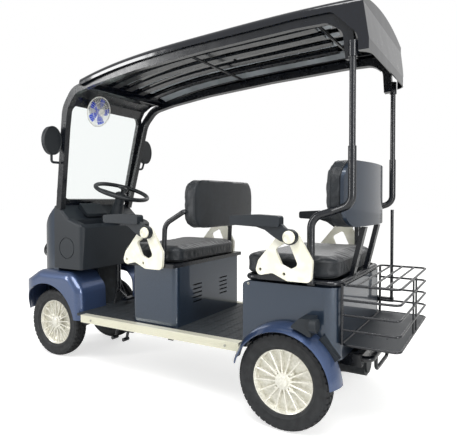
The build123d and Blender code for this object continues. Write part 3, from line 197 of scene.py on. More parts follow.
def cream_casting():
    """Cream stove enamel on a die casting: smooth, slightly uneven, semi-gloss."""
    made, tree, shader = finish("cream_enamelled_casting", "#eeecdb", 0.32, 0.0, IOR=1.5, Coat_Weight=0.3)
    where = object_space(tree)
    speckle(tree, shader, where, 40, "#e6e4d0", "#f2f0e2")
    cast = add_node(tree, "ShaderNodeTexNoise", {"Vector": where, "Scale": 90.0, "Detail": 2.0})
    raise_surface(tree, shader, cast.outputs["Fac"], 0.3)
    return made


def drawn_aluminium():
    """Anodised aluminium extrusion: fine lines along its length, pale champagne."""
    made, tree, shader = finish("anodised_aluminium_extrusion", "#e4e2cf", 0.36, 0.35)
    place = add_node(tree, "ShaderNodeTexCoord")
    long = add_node(tree, "ShaderNodeMapping", {"Vector": place.outputs["Object"],
                                                "Scale": (3.0, 900.0, 900.0)})
    lines = add_node(tree, "ShaderNodeTexNoise", {"Vector": long.outputs["Vector"], "Scale": 1.0,
                                                  "Detail": 4.0})
    ramp = add_node(tree, "ShaderNodeValToRGB", {"Fac": lines.outputs["Fac"]})
    ramp.color_ramp.elements[0].color = linear("#cfcdb8")
    ramp.color_ramp.elements[1].color = linear("#efeddc")
    tree.links.new(ramp.outputs["Color"], shader.inputs["Base Color"])
    raise_surface(tree, shader, lines.outputs["Fac"], 0.08)
    return made


def tyre_rubber():
    """Carbon-black tyre rubber: matt, with a faint dusty mottle all over."""
    made, tree, shader = finish("tyre_rubber", "#15171a", 0.62, 0.0, IOR=1.52)
    where = object_space(tree)
    speckle(tree, shader, where, 28, "#111316", "#1d1f22", 4.0)
    pores = add_node(tree, "ShaderNodeTexNoise", {"Vector": where, "Scale": 700.0, "Detail": 2.0})
    raise_surface(tree, shader, pores.outputs["Fac"], 0.15, 0.6)
    wear(tree, shader, where, 30, 0.5, 0.72)
    return made


def polished_alloy():
    """Diamond-turned and lacquered wheel face: bright, with fine turning marks."""
    made, tree, shader = finish("diamond_turned_alloy", "#e9e7dc", 0.25, 0.45)
    where = object_space(tree)
    speckle(tree, shader, where, 9, "#dcdace", "#f3f1e8")
    marks = add_node(tree, "ShaderNodeTexNoise", {"Vector": where, "Scale": 900.0, "Detail": 2.0})
    raise_surface(tree, shader, marks.outputs["Fac"], 0.05)
    return made


def plain(name, colour, roughness, metallic=0.0, mottled=12.0, **sockets):
    """A simple finish with a slight mottle, a few percent either side of its colour."""
    made, tree, shader = finish(name, colour, roughness, metallic, **sockets)
    where = object_space(tree)
    darker = "#" + "".join(f"{max(0, int(int(colour[i:i + 2], 16) * 0.9)):02x}" for i in (1, 3, 5))
    paler = "#" + "".join(f"{min(255, int(int(colour[i:i + 2], 16) * 1.06) + 2):02x}" for i in (1, 3, 5))
    speckle(tree, shader, where, mottled, darker, paler)
    return made


def clear_sheet(name, colour, ior=1.5, roughness=0.0, transmission=1.0):
    """Clear polycarbonate or glass."""
    made, tree, shader = finish(name, colour, roughness, 0.0, IOR=ior, Transmission_Weight=transmission)
    return made


def thin_glass():
    """Flat safety glass, seen through without bending the view: mostly clear, with a Fresnel reflection."""
    made = bpy.data.materials.new("flat_safety_glass")
    made.use_nodes = True
    tree = made.node_tree
    tree.nodes.clear()
    clear = add_node(tree, "ShaderNodeBsdfTransparent", {"Color": (0.97, 0.985, 0.98, 1.0)})
    shine = add_node(tree, "ShaderNodeBsdfPrincipled", {"Base Color": linear("#dfe8e6"), "Roughness": 0.02,
                                                        "Alpha": 1.0})
    edge = add_node(tree, "ShaderNodeFresnel", {"IOR": 1.18})
    both = add_node(tree, "ShaderNodeMixShader", {0: edge.outputs["Fac"], 1: clear.outputs["BSDF"],
                                                  2: shine.outputs["BSDF"]})
    add_node(tree, "ShaderNodeOutputMaterial", {"Surface": both.outputs["Shader"]})
    return made


def rubber_mat():
    """Moulded rubber mat: dull grey-black."""
    made, tree, shader = finish("ribbed_rubber_mat", "#22272c", 0.6, 0.0)
    where = object_space(tree)
    speckle(tree, shader, where, 35, "#1c2125", "#2a3035", 3.0)
    return made


PAINT = metallic_paint()
# the fenders get the body's paint painted lighter, as painted light
FENDER_PAINTED_LIGHTER = fender_paint_painted_lighter()
ROOF = roof_plastic()
BLACK_STEEL = powder_coat()
BLACK_ABS = textured_plastic()
SOFT_BLACK = textured_plastic("soft_touch_black_pu", "#15191d", "#1d2226", 0.45, 1.6)
LEATHERETTE = leatherette()
CREAM = cream_casting()
SILL = drawn_aluminium()
RUBBER = tyre_rubber()
ALLOY = polished_alloy()
MAT = rubber_mat()
GLASS = thin_glass()
LENS = clear_sheet("clear_polycarbonate_lens", "#f4f6f4", 1.58)
BLADE = clear_sheet("blue_tinted_polystyrene", "#2f57ff", 1.3, 0.12, 0.45)
PIPING = plain("black_piping", "#0d1014", 0.45)
WHEEL_BLACK = plain("gloss_black_wheel_lacquer", "#0a0c10", 0.22, Coat_Weight=0.5)
RUBBER_TRIM = plain("epdm_rubber_trim", "#0c0e11", 0.55)
ZINC = plain("zinc_plated_steel", "#b9b8b0", 0.35, 0.9)
CHROME = plain("chrome_plate", "#e8e8e8", 0.07, 1.0)
BARE_STEEL = plain("dusty_steel", "#35383b", 0.5, 0.5, 25.0)
WHITE_ABS = plain("white_abs", "#ecece6", 0.4)
LINING = plain("pale_roof_lining", "#aeb5ba", 0.42, mottled=160.0)
CAP = plain("cream_hub_cap", "#e8e5d2", 0.35, mottled=30.0)
MIRROR = plain("mirror_silver", "#dfe4e8", 0.02, 1.0)
BATTERY = plain("black_battery_case", "#1a1c20", 0.5)


# ---- mesh helpers -------------------------------------------------------------------
def smooth(mesh, angle=40.0):
    """Shades smooth, with creases sharper than angle kept."""
    for polygon in mesh.polygons:
        polygon.use_smooth = True
    mesh.set_sharp_from_angle(angle=math.radians(angle))


def piece(name, mesh, body, *materials, crease=40.0):
    """Links a mesh as a piece that rides on a body."""
    made = bpy.data.objects.new(name, mesh)
    scene.collection.objects.link(made)
    mesh.materials.clear()
    for each in materials:
        mesh.materials.append(each)
    smooth(mesh, crease)
    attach(made, body)
    return made


def mesh_from(bm, name, outward=True):
    """Turns a bmesh into a mesh, doubles merged and faces outward."""
    bmesh.ops.remove_doubles(bm, verts=bm.verts, dist=1e-6)
    if outward:
        bmesh.ops.recalc_face_normals(bm, faces=bm.faces)
    mesh = bpy.data.meshes.new(name)
    bm.to_mesh(mesh)
    bm.free()
    return mesh


def joined(name, meshes):
    """Several meshes as one; their material indices are kept."""
    bm = bmesh.new()
    for each in meshes:
        bm.from_mesh(each)
    mesh = bpy.data.meshes.new(name)
    bm.to_mesh(mesh)
    bm.free()
    return mesh


def placed(mesh, matrix=Matrix(), index=None):
    """Moves a mesh's points by a matrix, if one is given, and sets its material index."""
    mesh.transform(matrix)
    if matrix.determinant() < 0:
        mesh.flip_normals()
    if index is not None:
        mesh.polygons.foreach_set("material_index", [index] * len(mesh.polygons))
    return mesh


def walls(bm, rings, lap=False):
    """Faces between rings of points, each ring closed; with lap, also from the last ring to the first."""
    for low, high in zip(rings, rings[1:] + (rings[:1] if lap else [])):
        for i, (a, b) in enumerate(zip(low, high)):
            j = (i + 1) % len(low)
            bm.faces.new((a, low[j], high[j], b))


def turned(name, profile, steps=64, closed=True):
    """A profile of (radius, height) points spun round Z."""
    bm = bmesh.new()
    rings = []
    for radius, height in profile:
        ring = []
        for i in range(steps):
            a = 2 * math.pi * i / steps
            ring.append(bm.verts.new((radius * math.cos(a), radius * math.sin(a), height)))
        rings.append(ring)
    walls(bm, rings, closed)
    bmesh.ops.remove_doubles(bm, verts=bm.verts, dist=1e-7)
    bmesh.ops.dissolve_degenerate(bm, edges=bm.edges, dist=1e-7)
    return mesh_from(bm, name)


def slab(name, outline, low, high, bevel=0.0, segments=2):
    """An outline in XY extruded from low to high, its edges bevelled."""
    bm = bmesh.new()
    base = [bm.verts.new((x, y, low)) for x, y in outline]
    face = bm.faces.new(base)
    grown = bmesh.ops.extrude_face_region(bm, geom=[face])
    for v in grown["geom"]:
        if isinstance(v, bmesh.types.BMVert):
            v.co.z = high
    bmesh.ops.recalc_face_normals(bm, faces=bm.faces)
    if bevel:
        flat = [e for e in bm.edges if abs(e.verts[0].co.z - e.verts[1].co.z) < 1e-9]
        bmesh.ops.bevel(bm, geom=flat, offset=bevel, segments=segments, profile=0.6, affect="EDGES")
    return mesh_from(bm, name)


def rounded_rectangle(width, height, radius, steps=6):
    """Points round a rectangle with rounded corners, centred on the origin."""
    points = []
    for cx, cy, start in ((1, 1, 0), (-1, 1, 90), (-1, -1, 180), (1, -1, 270)):
        for i in range(steps + 1):
            a = math.radians(start + 90 * i / steps)
            points.append((cx * (width / 2 - radius) + radius * math.cos(a),
                           cy * (height / 2 - radius) + radius * math.sin(a)))
    return points


def rod_along(name, points, radius, sides=10, closed=False, smoothness=0):
    """A round rod along points; smoothness rounds its corners with a spline."""
    curve = bpy.data.curves.new(name, "CURVE")
    curve.dimensions = "3D"
    curve.bevel_depth = radius
    curve.bevel_resolution = max(1, sides // 4)
    curve.use_fill_caps = not closed
    kind = "NURBS" if smoothness else "POLY"
    spline = curve.splines.new(kind)
    spline.points.add(len(points) - 1)
    for point, co in zip(spline.points, points):
        point.co = (*co, 1.0)
    spline.use_cyclic_u = closed
    if smoothness:
        spline.order_u = 3
        spline.use_endpoint_u = not closed
        spline.resolution_u = smoothness
    holder = bpy.data.objects.new(name, curve)
    scene.collection.objects.link(holder)
    bpy.context.view_layer.update()
    made = bpy.data.meshes.new_from_object(holder.evaluated_get(bpy.context.evaluated_depsgraph_get()))
    bpy.data.objects.remove(holder)
    return made


# ---- repeats by Geometry Nodes ------------------------------------------------------
def new_tree(name, **inputs):
    """An empty Geometry Nodes tree with a geometry input and output and named inputs."""
    tree = bpy.data.node_groups.new(name, "GeometryNodeTree")
    tree.interface.new_socket("Geometry", in_out="INPUT", socket_type="NodeSocketGeometry")
    for label, kind in inputs.items():
        tree.interface.new_socket(label, in_out="INPUT", socket_type=kind)
    tree.interface.new_socket("Geometry", in_out="OUTPUT", socket_type="NodeSocketGeometry")
    return tree, add_node(tree, "NodeGroupInput")


def close_tree(tree, geometry, material):
    """Realizes the instances, sets the material and ends the tree."""
    real = add_node(tree, "GeometryNodeRealizeInstances", {"Geometry": geometry})
    done = add_node(tree, "GeometryNodeSetMaterial", {"Geometry": real.outputs["Geometry"],
                                                      "Material": material})
    add_node(tree, "NodeGroupOutput", {"Geometry": done.outputs["Geometry"]})
    return tree


def ring_tree():
    """Copies of a shape turned round Z: Count of them, the first at Start degrees."""
    tree, given = new_tree("round_an_axis", Shape="NodeSocketObject", Count="NodeSocketInt",
                           Start="NodeSocketFloat", Material="NodeSocketMaterial")
    points = add_node(tree, "GeometryNodePoints", {"Count": given.outputs["Count"]})
    number = add_node(tree, "GeometryNodeInputIndex")
    share = add_node(tree, "ShaderNodeMath", {0: number.outputs["Index"], 1: given.outputs["Count"]},
                     operation="DIVIDE")
    turn = add_node(tree, "ShaderNodeMath", {0: share.outputs["Value"], 1: 2 * math.pi,
                                             2: given.outputs["Start"]}, operation="MULTIPLY_ADD")
    angle = add_node(tree, "ShaderNodeCombineXYZ", {"Z": turn.outputs["Value"]})
    shape = add_node(tree, "GeometryNodeObjectInfo", {"Object": given.outputs["Shape"]})
    copies = add_node(tree, "GeometryNodeInstanceOnPoints", {
        "Points": points.outputs["Geometry"], "Instance": shape.outputs["Geometry"],
        "Rotation": angle.outputs["Vector"]})
    return close_tree(tree, copies.outputs["Instances"], given.outputs["Material"])


def scatter_tree():
    """A copy of a shape on each vertex, its Z along the vertex's "facing" attribute, turned by its "spin"."""
    tree, given = new_tree("on_each_point", Shape="NodeSocketObject", Size="NodeSocketFloat",
                           Material="NodeSocketMaterial")
    facing = add_node(tree, "GeometryNodeInputNamedAttribute", {"Name": "facing"}, data_type="FLOAT_VECTOR")
    spin = add_node(tree, "GeometryNodeInputNamedAttribute", {"Name": "spin"}, data_type="FLOAT")
    aim = add_node(tree, "FunctionNodeAlignRotationToVector", {"Vector": facing.outputs["Attribute"]},
                   axis="Z")
    about = add_node(tree, "ShaderNodeCombineXYZ", {"Z": spin.outputs["Attribute"]})
    turn = add_node(tree, "FunctionNodeRotateRotation", {
        "Rotation": aim.outputs["Rotation"], "Rotate By": about.outputs["Vector"]}, rotation_space="LOCAL")
    shape = add_node(tree, "GeometryNodeObjectInfo", {"Object": given.outputs["Shape"]})
    copies = add_node(tree, "GeometryNodeInstanceOnPoints", {
        "Points": given.outputs["Geometry"], "Instance": shape.outputs["Geometry"],
        "Rotation": turn.outputs["Rotation"], "Scale": given.outputs["Size"]})
    return close_tree(tree, copies.outputs["Instances"], given.outputs["Material"])


def lattice_tree():
    """Copies of a shape on a flat lattice, each second row moved by Shift, each second copy turned."""
    tree, given = new_tree("on_a_lattice", Shape="NodeSocketObject", Columns="NodeSocketInt",
                           Rows="NodeSocketInt", Pitch_X="NodeSocketFloat", Pitch_Y="NodeSocketFloat",
                           Shift="NodeSocketFloat", Reach="NodeSocketFloat", Material="NodeSocketMaterial")
    total = add_node(tree, "ShaderNodeMath", {0: given.outputs["Columns"], 1: given.outputs["Rows"]},
                     operation="MULTIPLY")
    points = add_node(tree, "GeometryNodePoints", {"Count": total.outputs["Value"]})
    number = add_node(tree, "GeometryNodeInputIndex")
    over = add_node(tree, "ShaderNodeMath", {0: number.outputs["Index"], 1: given.outputs["Columns"]},
                    operation="DIVIDE")
    row = add_node(tree, "ShaderNodeMath", {0: over.outputs["Value"]}, operation="FLOOR")
    column = add_node(tree, "ShaderNodeMath", {0: number.outputs["Index"], 1: given.outputs["Columns"]},
                      operation="FLOORED_MODULO")
    odd = add_node(tree, "ShaderNodeMath", {0: row.outputs["Value"], 1: 2.0}, operation="FLOORED_MODULO")
    shifted = add_node(tree, "ShaderNodeMath", {0: odd.outputs["Value"], 1: given.outputs["Shift"],
                                                2: column.outputs["Value"]}, operation="MULTIPLY_ADD")

    def centred(count, index, pitch):
        half = add_node(tree, "ShaderNodeMath", {0: count, 1: -0.5, 2: 0.5}, operation="MULTIPLY_ADD")
        put = add_node(tree, "ShaderNodeMath", {0: index, 1: half.outputs["Value"]}, operation="ADD")
        return add_node(tree, "ShaderNodeMath", {0: put.outputs["Value"], 1: pitch}, operation="MULTIPLY")

    x = centred(given.outputs["Columns"], shifted.outputs["Value"], given.outputs["Pitch_X"])
    y = centred(given.outputs["Rows"], row.outputs["Value"], given.outputs["Pitch_Y"])
    spot = add_node(tree, "ShaderNodeCombineXYZ", {"X": x.outputs["Value"], "Y": y.outputs["Value"]})
    away = add_node(tree, "ShaderNodeVectorMath", {0: spot.outputs["Vector"]}, operation="LENGTH")
    inside = add_node(tree, "ShaderNodeMath", {0: away.outputs["Value"], 1: given.outputs["Reach"]},
                      operation="LESS_THAN")
    spread = add_node(tree, "GeometryNodeSetPosition", {"Geometry": points.outputs["Geometry"],
                                                        "Position": spot.outputs["Vector"]})
    half_turn = add_node(tree, "ShaderNodeMath", {0: column.outputs["Value"], 1: 2.0},
                         operation="FLOORED_MODULO")
    mixed = add_node(tree, "ShaderNodeMath", {0: half_turn.outputs["Value"], 1: math.pi / 2},
                     operation="MULTIPLY")
    about = add_node(tree, "ShaderNodeCombineXYZ", {"Z": mixed.outputs["Value"]})
    shape = add_node(tree, "GeometryNodeObjectInfo", {"Object": given.outputs["Shape"]})
    copies = add_node(tree, "GeometryNodeInstanceOnPoints", {
        "Points": spread.outputs["Geometry"], "Selection": inside.outputs["Value"],
        "Instance": shape.outputs["Geometry"], "Rotation": about.outputs["Vector"]})
    return close_tree(tree, copies.outputs["Instances"], given.outputs["Material"])


RING = ring_tree()
SCATTER = scatter_tree()
LATTICE = lattice_tree()


def grown(name, tree, material, base=None, shape=None, **values):
    """The plain mesh that a Geometry Nodes tree makes from its named inputs."""
    holder = bpy.data.objects.new(name, base or bpy.data.meshes.new(name))
    scene.collection.objects.link(holder)
    modifier = holder.modifiers.new("repeat", "NODES")
    modifier.node_group = tree
    sockets = {item.name: item.identifier for item in tree.interface.items_tree if item.in_out == "INPUT"}
    source = None
    if shape is not None:
        source = bpy.data.objects.new(name + "_shape", shape)
        scene.collection.objects.link(source)
        modifier[sockets["Shape"]] = source
    modifier[sockets["Material"]] = material
    for key, value in values.items():
        modifier[sockets[key]] = value
    bpy.context.view_layer.update()
    made = bpy.data.meshes.new_from_object(holder.evaluated_get(bpy.context.evaluated_depsgraph_get()))
    holder.modifiers.clear()
    bpy.data.objects.remove(holder)
    if source is not None:
        bpy.data.objects.remove(source)
    return made


def marks(name, places):
    """Points for the scatter tree: each place is (position, facing, spin in degrees)."""
    mesh = bpy.data.meshes.new(name)
    mesh.from_pydata([tuple(p[0]) for p in places], [], [])
    mesh.attributes.new("facing", "FLOAT_VECTOR", "POINT")
    mesh.attributes.new("spin", "FLOAT", "POINT")
    facing = mesh.attributes["facing"]
    spin = mesh.attributes["spin"]
    for i, place in enumerate(places):
        facing.data[i].vector = Vector(place[1]).normalized()
        spin.data[i].value = math.radians(place[2] if len(place) > 2 else 0.0)
    return mesh


def screw_head(radius=0.0055, height=0.0028):
    """Domed screw head with a six-sided socket."""
    bm = bmesh.new()
    sides = 18
    sunk = 0.0006
    socket = radius * 0.42
    rings = []

    def ring(r, z, angles):
        """Adds a ring of points at a height."""
        rings.append([bm.verts.new((r * math.cos(a), r * math.sin(a), z)) for a in angles])

    round_angles = [2 * math.pi * i / sides for i in range(sides)]
    six_sided = [2 * math.pi * (i // 3) / 6 + 0.35 * ((i % 3) - 1) for i in range(sides)]
    for share, z in ((1.0, -sunk), (1.0, height * 0.35), (0.9, height * 0.75), (0.62, height)):
        ring(radius * share, z, round_angles)
    for z in (height, height * 0.25):
        ring(socket, z, six_sided)
    walls(bm, rings)
    bm.faces.new(rings[-1])
    bm.faces.new(list(reversed(rings[0])))
    return mesh_from(bm, "screw_head", outward=False)


def screws(name, body, places, material, size=1.0):
    """Screw heads at places, as one piece."""
    heads = grown(name, SCATTER, material, base=marks(name, places), shape=screw_head(), Size=size)
    return piece(name, heads, body, material, crease=35)


# ---- wheels -------------------------------------------------------------------------
SPOKES = 16
LUGS = 4
TREAD_CELLS = 44


def tyre_mesh(radius, half, bead):
    """Road tyre: ribbed side walls, rounded shoulders and a block tread of repeated cells."""
    groove = 0.0045

    def crown(y):
        """Radius of the tread face across the tyre."""
        return radius - 0.0115 * (abs(y) / half) ** 2.6

    side = [(bead, half * 0.72), (bead + 0.004, half * 0.86), (bead + 0.012, half * 0.93),
            (bead + 0.014, half * 0.965), (bead + 0.018, half * 0.965), (bead + 0.020, half * 0.945),
            (bead + 0.030, half * 0.985), (bead + 0.042, half * 0.998), (bead + 0.044, half),
            (bead + 0.047, half), (bead + 0.049, half * 0.985), (radius - 0.022, half * 0.97),
            (radius - 0.019, half * 0.955), (radius - 0.016, half * 0.955)]
    floor = [(crown(y * half) - groove, y * half) for y in (0.9, 0.75, 0.5, 0.25, 0.0)]
    outer = side + floor
    profile = outer + [(r, -y) for r, y in reversed(outer[:-1])] + [(bead - 0.002, -half * 0.6),
                                                                    (bead - 0.002, half * 0.6)]
    carcass = turned("carcass", profile, 96)

    def block(y0, y1, a0, a1, skew):
        """One tread block between two widths and two angles, its sides drafted."""
        bm = bmesh.new()
        cell = 2 * math.pi / TREAD_CELLS
        grid = []
        for drop, spread in ((groove + 0.002, 0.0), (0.0008, 0.0), (0.0, 0.0009)):
            ring = []
            for y, a in ((y0, a0), ((y0 + y1) / 2, a0), (y1, a0), (y1, a1), ((y0 + y1) / 2, a1), (y0, a1)):
                middle = (y0 + y1) / 2
                yy = y - math.copysign(spread, y - middle) if abs(y - middle) > 1e-6 else y
                pull = spread / radius * (1 if a == a0 else -1)
                angle = (a * cell + pull) + skew * yy / half * cell
                r = crown(yy) - drop
                ring.append(bm.verts.new((r * math.cos(angle), r * math.sin(angle), yy)))
            grid.append(ring)
        walls(bm, grid)
        bm.faces.new(grid[-1])
        return mesh_from(bm, "block")

    blocks = []
    for s in (-1, 1):
        blocks.append(block(s * half * 0.94, s * half * 0.66, 0.06, 0.82, 0.35 * s))
        blocks.append(block(s * half * 0.58, s * half * 0.28, 0.30, 0.98, 0.55 * s))
    blocks.append(block(-half * 0.20, half * 0.20, 0.04, 0.90, 0.25))
    tread = grown("tread", RING, RUBBER, shape=joined("tread_cell", blocks), Count=TREAD_CELLS, Start=0.0)
    return joined("tyre", [carcass, tread])


def rim_meshes(lip, half):
    """Alloy rim: rolled lip, barrel, slim spokes, hub with lug nuts, cap, black backing and drum."""
    face = half - 0.006
    lip_ring = turned("lip", [
        (lip - 0.013, face - 0.010), (lip - 0.011, face - 0.002), (lip - 0.006, face + 0.0015),
        (lip - 0.001, face + 0.001), (lip, face - 0.002), (lip - 0.0005, face - 0.006),
        (lip - 0.008, face - 0.012)], 96)
    barrel = turned("barrel", [
        (lip - 0.0125, face - 0.009), (lip - 0.0125, face - 0.022), (lip - 0.016, -half * 0.6),
        (lip - 0.012, -half + 0.004), (lip - 0.001, -half + 0.003), (lip - 0.001, -half),
        (lip - 0.014, -half), (lip - 0.020, -half * 0.6), (lip - 0.017, face - 0.024),
        (lip - 0.015, face - 0.010)], 80)
    spoke = bmesh.new()
    rings = []
    for r, wide, z, deep in (
            (0.024, 0.0042, face - 0.004, 0.016), (0.045, 0.0034, face - 0.006, 0.014),
            (0.080, 0.0030, face - 0.009, 0.012), (lip - 0.022, 0.0030, face - 0.0095, 0.011),
            (lip - 0.0105, 0.0042, face - 0.006, 0.012)):
        rings.append([spoke.verts.new((r, w, h)) for w, h in (
            (-wide, z - 0.0010), (-wide + 0.001, z), (wide - 0.001, z), (wide, z - 0.0010),
            (wide * 0.8, z - deep), (-wide * 0.8, z - deep))])
    walls(spoke, rings)
    spoke.faces.new(rings[0])
    spoke.faces.new(list(reversed(rings[-1])))
    spokes = grown("spokes", RING, ALLOY, shape=mesh_from(spoke, "spoke"), Count=SPOKES, Start=0.12)
    hub = turned("hub", [
        (0.0, face - 0.03), (0.034, face - 0.03), (0.037, face - 0.012), (0.034, face - 0.003),
        (0.026, face - 0.001), (0.0, face - 0.001)], 48, closed=False)
    cap = turned("cap", [
        (0.0, face - 0.004), (0.0225, face - 0.004), (0.0235, face + 0.001), (0.0225, face + 0.0045),
        (0.019, face + 0.006), (0.0, face + 0.0072)], 40, closed=False)
    nut = turned("nut", [(0.0, 0.0), (0.0078, 0.0), (0.0078, 0.006), (0.0060, 0.0085), (0.0, 0.0095)], 6,
                 closed=False)
    nut = placed(nut, Matrix.Translation((0.047, 0, face - 0.014)))
    nuts = grown("nuts", RING, CHROME, shape=nut, Count=LUGS, Start=math.radians(45))
    boss = turned("boss", [(0.0, 0.0), (0.0115, 0.0), (0.0125, -0.016), (0.0, -0.016)], 20, closed=False)
    boss = placed(boss, Matrix.Translation((0.047, 0, face - 0.0135)))
    bosses = grown("bosses", RING, ALLOY, shape=boss, Count=LUGS, Start=math.radians(45))
    drum = turned("drum", [(0.0, -0.012), (0.074, -0.012), (0.078, -0.016), (0.078, -half + 0.002),
                           (0.0, -half + 0.002)], 56, closed=False)
    rib = slab("rib", [(0.040, -0.002), (0.070, -0.002), (0.070, 0.002), (0.040, 0.002)],
               -0.012, -0.0085, 0.0006)
    ribs = grown("ribs", RING, BARE_STEEL, shape=rib, Count=12, Start=0.0)
    stem = rod_along("stem", [(lip - 0.022, 0.0, face - 0.016), (lip - 0.031, 0.0, face - 0.004)], 0.0028, 10)
    backing = turned("backing", [
        (0.030, face - 0.031), (lip - 0.017, face - 0.031), (lip - 0.017, face - 0.033),
        (0.030, face - 0.033)], 56)
    return {"alloy": [lip_ring, spokes, hub, bosses], "black": [barrel, backing], "cap": [cap],
            "chrome": [nuts], "steel": [drum, ribs], "rubber": [stem]}


def wheels():
    """The four wheels, tyre and rim each, turned so that their faces look outwards."""
    finishes = {"alloy": ALLOY, "black": WHEEL_BLACK, "cap": CAP, "chrome": CHROME, "steel": BARE_STEEL,
                "rubber": RUBBER_TRIM}
    for end in ("front", "rear"):
        for name, side in SIDES.items():
            low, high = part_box(f"tyre_{end}_{name}")
            rim_low, rim_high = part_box(f"rim_{end}_{name}")
            centre = (low + high) / 2
            outward = Matrix.Rotation(math.radians(-90 * side), 4, "X")
            place = Matrix.Translation(centre) @ outward
            lip = (rim_high.z - rim_low.z) / 2
            rubber = piece(f"tyre_{end}_{name}_dressed",
                           placed(tyre_mesh((high.z - low.z) / 2, (high.y - low.y) / 2, lip - 0.008), place),
                           f"wheel_{end}_{name}", RUBBER, crease=32)
            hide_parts(f"tyre_{end}_{name}")
            half = max(abs(rim_low.y - centre.y), abs(rim_high.y - centre.y))
            parts = rim_meshes(lip, min(half, 0.036))
            meshes, used = [], []
            for key, items in parts.items():
                used.append(finishes[key])
                for mesh in items:
                    meshes.append(placed(mesh, place, len(used) - 1))
            alloy = joined("rim", meshes)
            made = piece(f"rim_{end}_{name}_dressed", alloy, f"wheel_{end}_{name}", *used, crease=30)
            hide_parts(f"rim_{end}_{name}")


wheels()


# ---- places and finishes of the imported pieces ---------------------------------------
def middle(node):
    """Centre of a CAD node's box."""
    low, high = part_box(node)
    return (low + high) / 2


AXLE_X = middle("rim_rear_left").x


def at(x, y, z):
    """A point in the frame: millimetres ahead of the rear axle, left of the middle and over the ground."""
    return Vector((AXLE_X + x / 1000, y / 1000, z / 1000))


FINISHES = (
    (PAINT, ("front_seat_box", "rear_body", "front_cowl", "rear_back_shell")),
    (FENDER_PAINTED_LIGHTER, ("front_fender_left", "front_fender_right", "rear_fender_left", "rear_fender_right")),
    (ROOF, ("roof_shell",)),
    (BLACK_STEEL, ("canopy_frame", "rear_posts", "rear_seat_frame", "front_seat_frame", "basket_frame",
                   "rear_bumper", "stay_rod", "chassis_frame", "pedals", "roof_slats")),
    (BLACK_ABS, ("dash_console", "steering_column", "instrument_display", "basket_tray", "mirrors",
                 "tail_lamps", "armrest_front_left", "armrest_front_right", "armrest_rear_left",
                 "armrest_rear_right")),
    (SOFT_BLACK, ("steering_wheel",)),
    (CREAM, ("arm_brackets",)),
    (SILL, ("side_sills",)),
    (MAT, ("floor_deck",)),
    (GLASS, ("windshield_glass",)),
    (LENS, ("headlamps",)),
    (WHITE_ABS, ("fan_housing",)),
    (BLADE, ("fan_blades",)),
    (BARE_STEEL, ("front_axle", "rear_axle", "knuckle_left", "knuckle_right", "tie_rod")),
    (BATTERY, ("battery_pack",)),
)


def dress():
    """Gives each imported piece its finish."""
    for material, names in FINISHES:
        for name in names:
            for each in nodes[name].material_slots:
                each.material = material


dress()


def cad_mesh(name):
    """A copy of a CAD node's mesh, its doubled points merged."""
    bm = bmesh.new()
    bm.from_mesh(nodes[name].data)
    bmesh.ops.remove_doubles(bm, verts=bm.verts, dist=1e-5)
    bmesh.ops.recalc_face_normals(bm, faces=bm.faces)
    mesh = bpy.data.meshes.new(name + "_copy")
    bm.to_mesh(mesh)
    bm.free()
    mesh.materials.clear()
    mesh.polygons.foreach_set("material_index", [0] * len(mesh.polygons))
    return mesh


def islands(mesh):
    """The mesh's loose parts, as meshes."""
    bm = bmesh.new()
    bm.from_mesh(mesh)
    left = set(bm.verts)
    groups = []
    while left:
        seen = {left.pop()}
        edge = list(seen)
        while edge:
            for link in edge.pop().link_edges:
                for vert in link.verts:
                    if vert not in seen:
                        seen.add(vert)
                        edge.append(vert)
        left -= seen
        groups.append({vert.index for vert in seen})
    bm.free()
    parts = []
    for group in groups:
        bm = bmesh.new()
        bm.from_mesh(mesh)
        bmesh.ops.delete(bm, geom=[v for v in bm.verts if v.index not in group], context="VERTS")
        part = bpy.data.meshes.new("part")
        bm.to_mesh(part)
        bm.free()
        parts.append(part)
    return parts


def reach(mesh):
    """Lowest and highest corner of a mesh."""
    low, high = Vector((1e9,) * 3), Vector((-1e9,) * 3)
    for vert in mesh.vertices:
        low = Vector(map(min, low, vert.co))
        high = Vector(map(max, high, vert.co))
    return low, high


def surface(mesh):
    """A search tree over a mesh's faces."""
    bm = bmesh.new()
    bm.from_mesh(mesh)
    found = BVHTree.FromBMesh(bm)
    bm.free()
    return found


# ---- upholstery ---------------------------------------------------------------------
PAD_GRID = 0.0075             # spacing of the simulated cloth
PAD_INSET = 0.005             # the cloth starts this far inside the pad's form
PAD_SWELL = 0.011             # and swells at most this far
SEAM_DEPTH = 0.0032
SEAM_WIDTH = 0.006
PIPING_R = 0.0019


def remeshed(mesh, size):
    """An even quad mesh over a closed form."""
    holder = bpy.data.objects.new("remeshed", mesh)
    scene.collection.objects.link(holder)
    modifier = holder.modifiers.new("even", "REMESH")
    modifier.mode = "VOXEL"
    modifier.voxel_size = size
    bpy.context.view_layer.update()
    made = bpy.data.meshes.new_from_object(holder.evaluated_get(bpy.context.evaluated_depsgraph_get()))
    bpy.data.objects.remove(holder)
    return made


def swollen(mesh, held, frames=18):
    """The cloth of a pad blown up from inside, with the held points fixed; returns the new points."""
    holder = bpy.data.objects.new("cloth", mesh)
    scene.collection.objects.link(holder)
    group = holder.vertex_groups.new(name="held")
    group.add(held, 1.0, "REPLACE")
    cloth = holder.modifiers.new("cloth", "CLOTH")
    settings = cloth.settings
    settings.quality = 4
    settings.mass = 0.25
    settings.tension_stiffness = settings.compression_stiffness = 12
    settings.shear_stiffness = 6
    settings.bending_stiffness = 0.6
    settings.use_pressure = True
    settings.uniform_pressure_force = 4.0
    settings.shrink_min = -0.02
    settings.vertex_group_mass = "held"
    settings.effector_weights.gravity = 0.0
    cloth.point_cache.frame_start = 1
    cloth.point_cache.frame_end = frames
    for step in range(1, frames + 1):
        scene.frame_set(step)
    done = holder.evaluated_get(bpy.context.evaluated_depsgraph_get())
    points = [v.co.copy() for v in done.data.vertices]
    bpy.data.objects.remove(holder)
    scene.frame_set(1)
    return points


